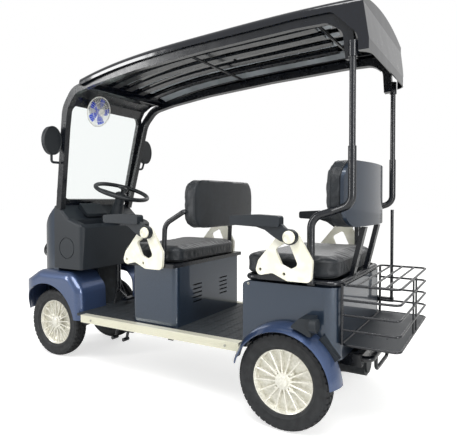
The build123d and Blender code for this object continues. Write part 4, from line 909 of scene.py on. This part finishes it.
def loop_points(outline, height, axis):
    """A rounded outline as points at a height along Z, or along X for an upright pad."""
    if axis == "Z":
        return [Vector((u, v, height)) for u, v in outline]
    return [Vector((height, u, v)) for u, v in outline]


def spaced(points, step):
    """Points every step along a closed line."""
    out = []
    for a, b in zip(points, points[1:] + points[:1]):
        count = max(1, int((b - a).length / step))
        out += [a.lerp(b, i / count) for i in range(count)]
    return out


def upholstered(name, node, form, body, seams, back):
    """A pad from its CAD form: cloth held at its seams and its back, swollen, creased and piped.

    Each seam is a closed list of points near the form; back is the direction of the face that rests."""
    base = remeshed(form, PAD_GRID)
    tree = surface(base)
    lines = []
    for seam in seams:
        near = [tree.find_nearest(p)[0] for p in spaced(seam, 0.006)]
        lines.append([p for p in near if p is not None])
    normals = [v.normal.copy() for v in base.vertices]
    outer = [v.co.copy() for v in base.vertices]
    rests = [i for i, n in enumerate(normals) if n.dot(back) > 0.75]
    for v, n in zip(base.vertices, normals):
        v.co = v.co - n * PAD_INSET
    seam_points = [p for line in lines for p in line]
    index = KDTree(len(seam_points))
    for i, p in enumerate(seam_points):
        index.insert(p, i)
    index.balance()
    gaps = [index.find(co)[2] for co in outer]
    held = sorted(set(rests) | {i for i, gap in enumerate(gaps) if gap < PAD_GRID * 1.1})
    start = [v.co.copy() for v in base.vertices]
    puffed = swollen(base.copy(), held)
    for v, p, q in zip(base.vertices, start, puffed):
        move = q - p
        if move.length > PAD_SWELL:
            move = move * (PAD_SWELL / move.length)
        v.co = p + move
    for i in held:
        v = base.vertices[i]
        v.co = outer[i] - normals[i] * 0.001
    for i, gap in enumerate(gaps):
        crease = SEAM_DEPTH * math.exp(-(gap / SEAM_WIDTH) ** 2)
        base.vertices[i].co -= normals[i] * crease
    for i in rests:
        co = base.vertices[i].co
        co -= back * ((co - outer[i]).dot(back) + 0.0006)
    holder = bpy.data.objects.new("smooth", base)
    scene.collection.objects.link(holder)
    ease = holder.modifiers.new("ease", "SMOOTH")
    ease.factor = 0.5
    ease.iterations = 2
    fine = holder.modifiers.new("fine", "SUBSURF")
    fine.levels = fine.render_levels = 1
    bpy.context.view_layer.update()
    skin = bpy.data.meshes.new_from_object(holder.evaluated_get(bpy.context.evaluated_depsgraph_get()))
    bpy.data.objects.remove(holder)
    skin.materials.clear()
    tree = surface(skin)
    meshes = [placed(skin, index=0)]
    for line in lines:
        cord = []
        for p in line[::2]:
            spot, normal = tree.find_nearest(p)[:2]
            cord.append(spot + normal * 0.0004)
        meshes.append(placed(rod_along("piping", cord, PIPING_R, 8, closed=True), index=1))
    made = piece(name, joined(name, meshes), body, LEATHERETTE, PIPING, crease=60)
    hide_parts(node)
    return made


def ring_outline(low, high, radius, first, second):
    """A rounded rectangle round two axes of a box, as points."""
    width = high[first] - low[first]
    tall = high[second] - low[second]
    centre = ((low[first] + high[first]) / 2, (low[second] + high[second]) / 2)
    return [(centre[0] + u, centre[1] + v) for u, v in rounded_rectangle(width, tall, radius, 8)]


CUSHION_FLOOR = 634.3         # underside of the front cushion, over its hinge leaves


def close_holes(bm):
    """Closes a mesh's open edges and faces it outward."""
    bmesh.ops.holes_fill(bm, edges=[e for e in bm.edges if e.is_boundary], sides=0)
    bmesh.ops.recalc_face_normals(bm, faces=bm.faces)


def cushions():
    """Seat cushions: a top panel over a side band, with piping round both edges."""
    for node, body in (("front_cushion", "seat_lid"), ("rear_cushion", "chassis")):
        form = max(islands(cad_mesh(node)), key=lambda m: (reach(m)[1] - reach(m)[0]).length)
        if node == "front_cushion":
            bm = bmesh.new()
            bm.from_mesh(form)
            floor = at(0, 0, CUSHION_FLOOR).z - 0.0003
            bmesh.ops.delete(bm, geom=[v for v in bm.verts if v.co.z < floor], context="VERTS")
            close_holes(bm)
            bm.to_mesh(form)
            bm.free()
        low, high = reach(form)
        outline = ring_outline(low, high, 0.045, 0, 1)
        seams = [loop_points(outline, high.z - 0.020, "Z"), loop_points(outline, low.z + 0.010, "Z")]
        upholstered(node + "_upholstered", node, form, body, seams, Vector((0, 0, -1)))
        if node == "front_cushion":
            leaves()


def leaves():
    """Steel hinge leaves under the front cushion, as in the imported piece."""
    whole = cad_mesh("front_cushion")
    bm = bmesh.new()
    bm.from_mesh(whole)
    line = at(0, 0, CUSHION_FLOOR).z + 0.0002
    bmesh.ops.bisect_plane(bm, geom=bm.verts[:] + bm.edges[:] + bm.faces[:], plane_co=(0, 0, line),
                           plane_no=(0, 0, 1), clear_outer=True)
    bmesh.ops.delete(bm, geom=[f for f in bm.faces if all(v.co.z > line - 0.0005 for v in f.verts)],
                     context="FACES")
    close_holes(bm)
    bm.to_mesh(whole)
    bm.free()
    if len(whole.polygons):
        piece("seat_lid_hinges", whole, "seat_lid", ZINC, crease=35)


def back_pads():
    """Back pads: a front panel, a side band and a rear panel, piped where they meet."""
    for node in ("front_back_pad", "rear_back_pad"):
        form = max(islands(cad_mesh(node)), key=lambda m: (reach(m)[1] - reach(m)[0]).length)
        low, high = reach(form)
        outline = ring_outline(low, high, 0.06, 1, 2)
        thick = high.x - low.x
        seams = [loop_points(outline, high.x - min(0.022, thick * 0.3), "X"),
                 loop_points(outline, low.x + min(0.016, thick * 0.25), "X")]
        upholstered(node + "_upholstered", node, form, "chassis", seams, Vector((-1, 0, 0)))


cushions()
back_pads()


# ---- roof lining, fan and mirrors ---------------------------------------------------
def roof_lining():
    """Pale vacuum-formed lining panels between the slats, close under the roof shell."""
    shell = surface(nodes["roof_shell"].data)
    low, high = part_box("roof_slats")
    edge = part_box("roof_shell")[1].y - 0.045
    slats = sorted((reach(part) for part in islands(cad_mesh("roof_slats"))), key=lambda r: r[0].y + r[1].y)
    long = [r for r in slats if r[1].x - r[0].x > 0.5]
    gap = 0.006
    borders = [-edge] + [v for r in long for v in (r[0].y - gap, r[1].y + gap)] + [edge]
    rows = 60
    bm = bmesh.new()
    for y0, y1 in zip(borders[::2], borders[1::2]):
        columns = 8
        grid = []
        for i in range(rows + 1):
            x = low.x + 0.02 + (high.x - low.x - 0.04) * i / rows
            line = []
            for j in range(columns + 1):
                y = y0 + (y1 - y0) * j / columns
                hit = shell.ray_cast(Vector((x, y, 1.2)), Vector((0, 0, 1)))[0]
                rise = 0.004 * math.sin(math.pi * j / columns)
                line.append(None if hit is None else bm.verts.new((x, y, hit.z - 0.010 + rise)))
            grid.append(line)
        for a, b in zip(grid, grid[1:]):
            for j in range(columns):
                corners = (a[j], a[j + 1], b[j + 1], b[j])
                if all(corners):
                    bm.faces.new(reversed(corners))
    bmesh.ops.solidify(bm, geom=bm.faces[:], thickness=-0.0015)
    piece("roof_lining", mesh_from(bm, "roof_lining"), "chassis", LINING, crease=50)


def cross_bars():
    """The two thin cross tubes under the roof, pale, and the slats, dark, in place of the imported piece."""
    parts = islands(cad_mesh("roof_slats"))
    bars = [m for m in parts if reach(m)[1].x - reach(m)[0].x < 0.1]
    slats = [m for m in parts if m not in bars]
    meshes = [placed(m, index=0) for m in slats] + [placed(m, index=1) for m in bars]
    made = piece("roof_slats_and_bars", joined("roof_slats_and_bars", meshes), "chassis", BLACK_STEEL, LINING,
                 crease=35)
    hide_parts("roof_slats")


def facing_matrix(centre, direction, up=Vector((0, 0, 1))):
    """A matrix whose Z looks along a direction, with Y as near to up as it can be."""
    z = Vector(direction).normalized()
    x = up.cross(z).normalized()
    y = z.cross(x)
    turn = Matrix((x, y, z)).transposed().to_4x4()
    return Matrix.Translation(centre) @ turn


FAN_CAGE_R = 0.086
FAN_BADGE_R = 0.020
FAN_HALF = 0.024              # depth of each dome of the cage
FAN_WIRE_R = 0.0009
FAN_WIRES = 36
FAN_BLADES = 5


def clip_fan():
    """Clip-on fan: a wire cage of two domes, tinted blades on the rotor, and a white motor and clamp."""
    joint = next(j for j in frame["joints"] if j["name"] == "fan_spin")
    centre = Vector(joint["pos_m"])
    ahead = Vector(joint["axis"])
    if ahead.x > 0:
        ahead = -ahead
    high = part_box("fan_housing")[1]
    place = facing_matrix(centre, ahead)
    half = FAN_HALF

    radii = [FAN_BADGE_R + (FAN_CAGE_R - FAN_BADGE_R) * i / 8 for i in range(9)]
    arc = [(r, half * math.cos(math.pi / 2 * r / FAN_CAGE_R)) for r in radii]
    front = rod_along("spoke", [(r, 0.0, h) for r, h in arc], FAN_WIRE_R, 6)
    back = rod_along("spoke", [(r, 0.0, -h) for r, h in arc], FAN_WIRE_R, 6)
    wires = [grown("cage", RING, WHITE_ABS, shape=joined("pair", [front, back]), Count=FAN_WIRES, Start=0.0)]
    for r, h, thick in ((FAN_CAGE_R, 0.0, 0.0032), (FAN_BADGE_R, half * 0.97, 0.0012),
                        (0.055, half * 0.56, 0.0011), (0.055, -half * 0.56, 0.0011)):
        angles = [2 * math.pi * k / 8 for k in range(8)]
        wires.append(turned("hoop", [(r + thick * math.cos(a), h + thick * math.sin(a)) for a in angles], 64))
    badge = turned("badge", [(0.0, half - 0.001), (0.021, half - 0.001), (0.020, half + 0.003),
                             (0.0, half + 0.0045)], 40, closed=False)
    motor = turned("motor", [
        (0.0, -half - 0.002), (0.028, -half - 0.002), (0.030, -half - 0.008),
        (0.029, -half - 0.030), (0.020, -half - 0.038), (0.0, -half - 0.039)], 40, closed=False)
    meshes = [placed(m, place, 0) for m in wires]
    meshes += [placed(badge, place, 1), placed(motor, place, 1)]
    arm = [centre - ahead * (half + 0.030), centre - ahead * (half + 0.050) + Vector((0, 0, 0.020)),
           Vector((high.x - 0.004, centre.y + 0.004, high.z - 0.012))]
    meshes.append(placed(rod_along("stem", arm, 0.008, 12, smoothness=8), index=1))
    made = piece("clip_fan_cage", joined("clip_fan_cage", meshes), "chassis", WHITE_ABS, WHITE_ABS, crease=40)
    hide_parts("fan_housing")

    blades = []
    for k in range(FAN_BLADES):
        bm = bmesh.new()
        rows = []
        for i in range(9):
            r = 0.014 + (FAN_CAGE_R - 0.014 - 0.010) * i / 8
            wide = math.radians(30 + 12 * math.sin(math.pi * i / 8))
            line = []
            for j in range(7):
                a = 2 * math.pi * k / FAN_BLADES + wide * (j / 6 - 0.5) + 0.12 * (i / 8)
                lift = 0.010 * (j / 6 - 0.5) * (1.2 - 0.5 * i / 8)
                line.append(bm.verts.new((r * math.cos(a), r * math.sin(a), lift)))
            rows.append(line)
        for a, b in zip(rows, rows[1:]):
            for j in range(6):
                bm.faces.new((a[j], b[j], b[j + 1], a[j + 1]))
        bmesh.ops.solidify(bm, geom=bm.faces[:], thickness=0.0012)
        blades.append(placed(mesh_from(bm, "blade"), place, 0))
    hub = turned("hub", [(0.0, -0.010), (0.016, -0.010), (0.0175, -0.006), (0.0165, 0.008), (0.010, 0.0125),
                         (0.0, 0.0135)], 36, closed=False)
    blades.append(placed(hub, place, 1))
    turner = piece("fan_blades_dressed", joined("fan_blades_dressed", blades), "fan_rotor", BLADE, CAP,
                   crease=40)
    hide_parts("fan_blades")


MIRROR_X = 1415.0             # middle of each mirror, placed as by at()
MIRROR_Y = 395.0
MIRROR_Z = 1285.0
MIRROR_TALL = 0.080           # half the oval's height and width
MIRROR_WIDE = 0.060
MIRROR_RIM = 0.006


def mirror_faces():
    """Oval mirror glass in a black rim, on the side of each mirror that faces the driver."""
    for name, side in SIDES.items():
        part = [m for m in islands(cad_mesh("mirrors")) if (reach(m)[0].y + reach(m)[1].y) * side > 0]
        tree = surface(joined("mirror", part))
        centre = at(MIRROR_X, side * MIRROR_Y, MIRROR_Z)
        hit = tree.ray_cast(centre + Vector((-0.2, 0, 0)), Vector((1, 0, 0)))[0]
        flat = (hit.x if hit is not None else centre.x - 0.014) - 0.0004
        place = facing_matrix(Vector((flat, centre.y, centre.z)), Vector((-1, 0, 0)))

        def oval(out, height):
            """Points round the mirror, moved outwards, at a height over its face."""
            return [((MIRROR_WIDE + out) * math.cos(2 * math.pi * i / 64),
                     (MIRROR_TALL + out) * math.sin(2 * math.pi * i / 64), height) for i in range(64)]

        bm = bmesh.new()
        rings = [[bm.verts.new(p) for p in oval(s, h)] for s, h in
                 ((0.001, -0.001), (0.001, 0.003), (-0.001, 0.005), (-0.004, 0.005), (-MIRROR_RIM, 0.0022))]
        walls(bm, rings)
        bm.faces.new(list(reversed(rings[0])))
        bm.faces.new(rings[-1])
        rim_mesh = mesh_from(bm, "rim")
        glass = bmesh.new()
        lower = [glass.verts.new(p) for p in oval(-MIRROR_RIM, 0.0023)]
        upper = [glass.verts.new(p) for p in oval(-MIRROR_RIM - 0.001, 0.0032)]
        walls(glass, [lower, upper])
        glass.faces.new(upper)
        glass.faces.new(list(reversed(lower)))
        glass_mesh = mesh_from(glass, "glass")
        meshes = [placed(rim_mesh, place, 0), placed(glass_mesh, place, 1)]
        piece(f"mirror_face_{name}", joined("mirror_face", meshes), "chassis", SOFT_BLACK, MIRROR, crease=30)


roof_lining()
cross_bars()
clip_fan()
mirror_faces()


# ---- armrests, brackets and screws --------------------------------------------------
FAR_SIDE = 0.7                # well outside the vehicle, where rays start


def arm_pivots():
    """Each armrest's body, its side and its pivot."""
    for joint in frame["joints"]:
        if joint["name"].startswith("armrest_"):
            body = joint["name"].replace("_hinge", "")
            yield body, 1 if "left" in body else -1, Vector(joint["pos_m"])


def arm_caps():
    """White caps over the armrest pivots."""
    for body, side, pivot in arm_pivots():
        arm_low, arm_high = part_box(body)
        hub = surface(nodes[body].data)
        hit = hub.ray_cast(Vector((pivot.x, side * FAR_SIDE, pivot.z)), Vector((0, -side, 0)))[0]
        outer = hit.y if hit is not None else (arm_high.y if side > 0 else arm_low.y)
        cap = turned("cap", [
            (0.0, -0.001), (0.027, -0.001), (0.027, 0.0035), (0.0245, 0.0062), (0.010, 0.0078),
            (0.0, 0.008)], 48, closed=False)
        place = facing_matrix(Vector((pivot.x, outer, pivot.z)), Vector((0, side, 0)))
        piece(body + "_cap", placed(cap, place, 0), body, CAP, crease=35)


def bracket_screws():
    """Two screws low on each cream bracket, into the seat's frame."""
    tree = surface(nodes["arm_brackets"].data)
    spots = []
    for _, side, pivot in arm_pivots():
        for dx, dz in ((0.143, -0.143), (0.033, -0.156)):
            start = Vector((pivot.x + dx, side * FAR_SIDE, pivot.z + dz))
            hit = tree.ray_cast(start, Vector((0, -side, 0)))[0]
            if hit is not None and abs(hit.y) > 0.3:
                spots.append((hit, (0, side, 0), 20))
    if spots:
        screws("bracket_screws", "chassis", spots, SOFT_BLACK, 1.25)


arm_caps()
bracket_screws()


# ---- floor mat, lamps and small fittings --------------------------------------------
FLOOR_TOP = 315.0
MAT_FIELDS = ((250, 600), (915, 1215))   # behind and ahead of the seat box
MAT_WIDTH = 0.66
MAT_PITCH = 0.030


def mat_pattern():
    """Raised bars of the mat on the floor, between the sills and clear of the seat box."""
    bar = slab("bar", [(-0.0125, 0.0), (-0.006, -0.0022), (0.006, -0.0022), (0.0125, 0.0), (0.006, 0.0022),
                       (-0.006, 0.0022)], 0.0, 0.0013, 0.0006, 1)
    bar = placed(bar, Matrix.Rotation(math.radians(45), 4, "Z"))
    fields = []
    for x0, x1 in MAT_FIELDS:
        columns = int((x1 - x0) / 1000 / MAT_PITCH)
        rows = int(MAT_WIDTH / MAT_PITCH)
        centre = at((x0 + x1) / 2, 0, FLOOR_TOP)
        field = grown("field", LATTICE, MAT, shape=bar, Columns=columns, Rows=rows, Pitch_X=MAT_PITCH,
                      Pitch_Y=MAT_PITCH, Shift=0.0, Reach=1.0)
        fields.append(placed(field, Matrix.Translation(centre), 0))
    piece("mat_pattern", joined("mat_pattern", fields), "chassis", MAT, crease=30)


LAMP_FACE_X = -151.2          # rear face of the round tail lamps, placed as by at()
LAMP_Y = 430.0
LAMP_Z = 459.0


def tail_lenses():
    """Clear faceted lens on each round tail lamp, facing back, in a black bezel."""
    for name, side in SIDES.items():
        centre = at(LAMP_FACE_X, side * LAMP_Y, LAMP_Z)
        place = facing_matrix(centre, Vector((-1, 0, 0)))
        bezel = turned("bezel", [(0.0285, -0.001), (0.0285, 0.004), (0.0265, 0.0055), (0.024, 0.0045),
                                 (0.024, -0.001)], 48)
        lens = turned("lens", [(0.0, 0.0), (0.024, 0.0), (0.024, 0.0035), (0.018, 0.0055), (0.010, 0.0065),
                               (0.0, 0.0068)], 24, closed=False)
        bowl = turned("bowl", [(0.0, -0.0008), (0.0238, -0.0008), (0.0238, -0.0002), (0.0, -0.0002)], 32,
                      closed=False)
        meshes = [placed(bezel, place, 0), placed(lens, place, 1), placed(bowl, place, 2)]
        piece(f"tail_lens_{name}", joined("tail_lens", meshes), "chassis", BLACK_ABS, LENS, CHROME, crease=12)


def small_screws():
    """Screws on the sills and the rear body."""
    spots = []
    for node, places in (("side_sills", ((300, 296), (1150, 296))), ("rear_body", ((186, 586),))):
        tree = surface(nodes[node].data)
        for x, z in places:
            for side in (1, -1):
                start = at(x, side * FAR_SIDE * 1000, z)
                hit = tree.ray_cast(start, Vector((0, -side, 0)))[0]
                if hit is not None:
                    spots.append((hit, (0, side, 0), 15))
    screws("body_screws", "chassis", spots, ZINC, 1.1)


def steering_hub():
    """Dark dome in a bright chrome ring in the middle of the steering wheel."""
    joint = next(j for j in frame["joints"] if j["name"] == "steering_wheel_turn")
    axis = Vector(joint["axis"])
    if axis.z < 0:
        axis = -axis
    tree = surface(nodes["steering_wheel"].data)
    start = Vector(joint["pos_m"]) + axis * 0.6
    hit = tree.ray_cast(start, -axis)[0]
    if hit is None:
        return
    place = facing_matrix(hit, axis, Vector((0, 1, 0)))
    dome = turned("dome", [(0.0, -0.001), (0.026, -0.001), (0.025, 0.004), (0.018, 0.008), (0.0, 0.010)], 40,
                  closed=False)
    ring = turned("ring", [(0.026, -0.001), (0.029, -0.001), (0.0285, 0.0035), (0.0262, 0.0035)], 40)
    piece("steering_hub", joined("steering_hub", [placed(dome, place, 0), placed(ring, place, 1)]),
          "steering", SOFT_BLACK, CHROME, crease=40)


mat_pattern()
tail_lenses()
small_screws()
steering_hub()


# ---- stage, light and camera --------------------------------------------------------
def studio():
    """Pale floor and backdrop, soft lamps and the camera."""
    floor, tree, shader = finish("pale_studio_floor", "#f4f4f2", 0.7)
    tree.nodes.clear()
    matt = add_node(tree, "ShaderNodeBsdfDiffuse", {"Color": linear("#e4e4e2")})
    white = add_node(tree, "ShaderNodeEmission", {"Color": (1, 1, 1, 1), "Strength": 0.62})
    seen = add_node(tree, "ShaderNodeLightPath")
    both = add_node(tree, "ShaderNodeAddShader", {0: matt.outputs["BSDF"], 1: white.outputs["Emission"]})
    pick = add_node(tree, "ShaderNodeMixShader", {0: seen.outputs["Is Camera Ray"], 1: matt.outputs["BSDF"],
                                                  2: both.outputs["Shader"]})
    add_node(tree, "ShaderNodeOutputMaterial", {"Surface": pick.outputs["Shader"]})
    mesh = bpy.data.meshes.new("studio_floor")
    mesh.from_pydata([(-30, -30, 0), (30, -30, 0), (30, 30, 0), (-30, 30, 0)], [], [(0, 1, 2, 3)])
    ground = bpy.data.objects.new("studio_floor", mesh)
    mesh.materials.append(floor)
    scene.collection.objects.link(ground)

    world = bpy.data.worlds.new("studio_world")
    scene.world = world
    world.use_nodes = True
    sky = world.node_tree
    sky.nodes.clear()
    light = add_node(sky, "ShaderNodeBackground", {"Color": (1, 1, 1, 1), "Strength": 0.55})
    shown = add_node(sky, "ShaderNodeBackground", {"Color": (1, 1, 1, 1), "Strength": 1.0})
    path = add_node(sky, "ShaderNodeLightPath")
    mixed = add_node(sky, "ShaderNodeMixShader", {
        0: path.outputs["Is Camera Ray"], 1: light.outputs["Background"], 2: shown.outputs["Background"]})
    add_node(sky, "ShaderNodeOutputWorld", {"Surface": mixed.outputs["Shader"]})

    for name, spot, aim, size, power in (
            ("high_softbox", (-1.2, 2.4, 4.6), (0.0, 0.0, 0.6), (3.2, 2.2), 150),
            ("left_strip", (-4.2, 2.2, 1.9), (-0.4, 0.2, 0.7), (0.9, 3.2), 90),
            ("front_strip", (3.6, 4.0, 2.2), (0.5, 0.0, 0.7), (0.9, 3.0), 90),
            ("far_fill", (0.5, -4.5, 3.0), (0.0, 0.0, 0.8), (3.0, 2.0), 50)):
        lamp = bpy.data.lights.new(name, "AREA")
        lamp.shape = "RECTANGLE"
        lamp.size, lamp.size_y = size
        lamp.energy = power
        holder = bpy.data.objects.new(name, lamp)
        holder.location = spot
        holder.rotation_euler = (Vector(aim) - Vector(spot)).to_track_quat("-Z", "Y").to_euler()
        scene.collection.objects.link(holder)

    lens = bpy.data.cameras.new("camera")
    lens.lens = 36.9
    lens.sensor_width = 36.0
    lens.shift_y = -0.018
    eye = bpy.data.objects.new("camera", lens)
    eye.location = (-1.481, 2.167, 0.955)
    yaw, pitch = math.radians(-59.4), math.radians(-1.3)
    gaze = Vector((math.cos(yaw) * math.cos(pitch), math.sin(yaw) * math.cos(pitch), math.sin(pitch)))
    eye.rotation_euler = gaze.to_track_quat("-Z", "Y").to_euler()
    scene.collection.objects.link(eye)
    scene.camera = eye
    scene.view_settings.view_transform = "Standard"


studio()
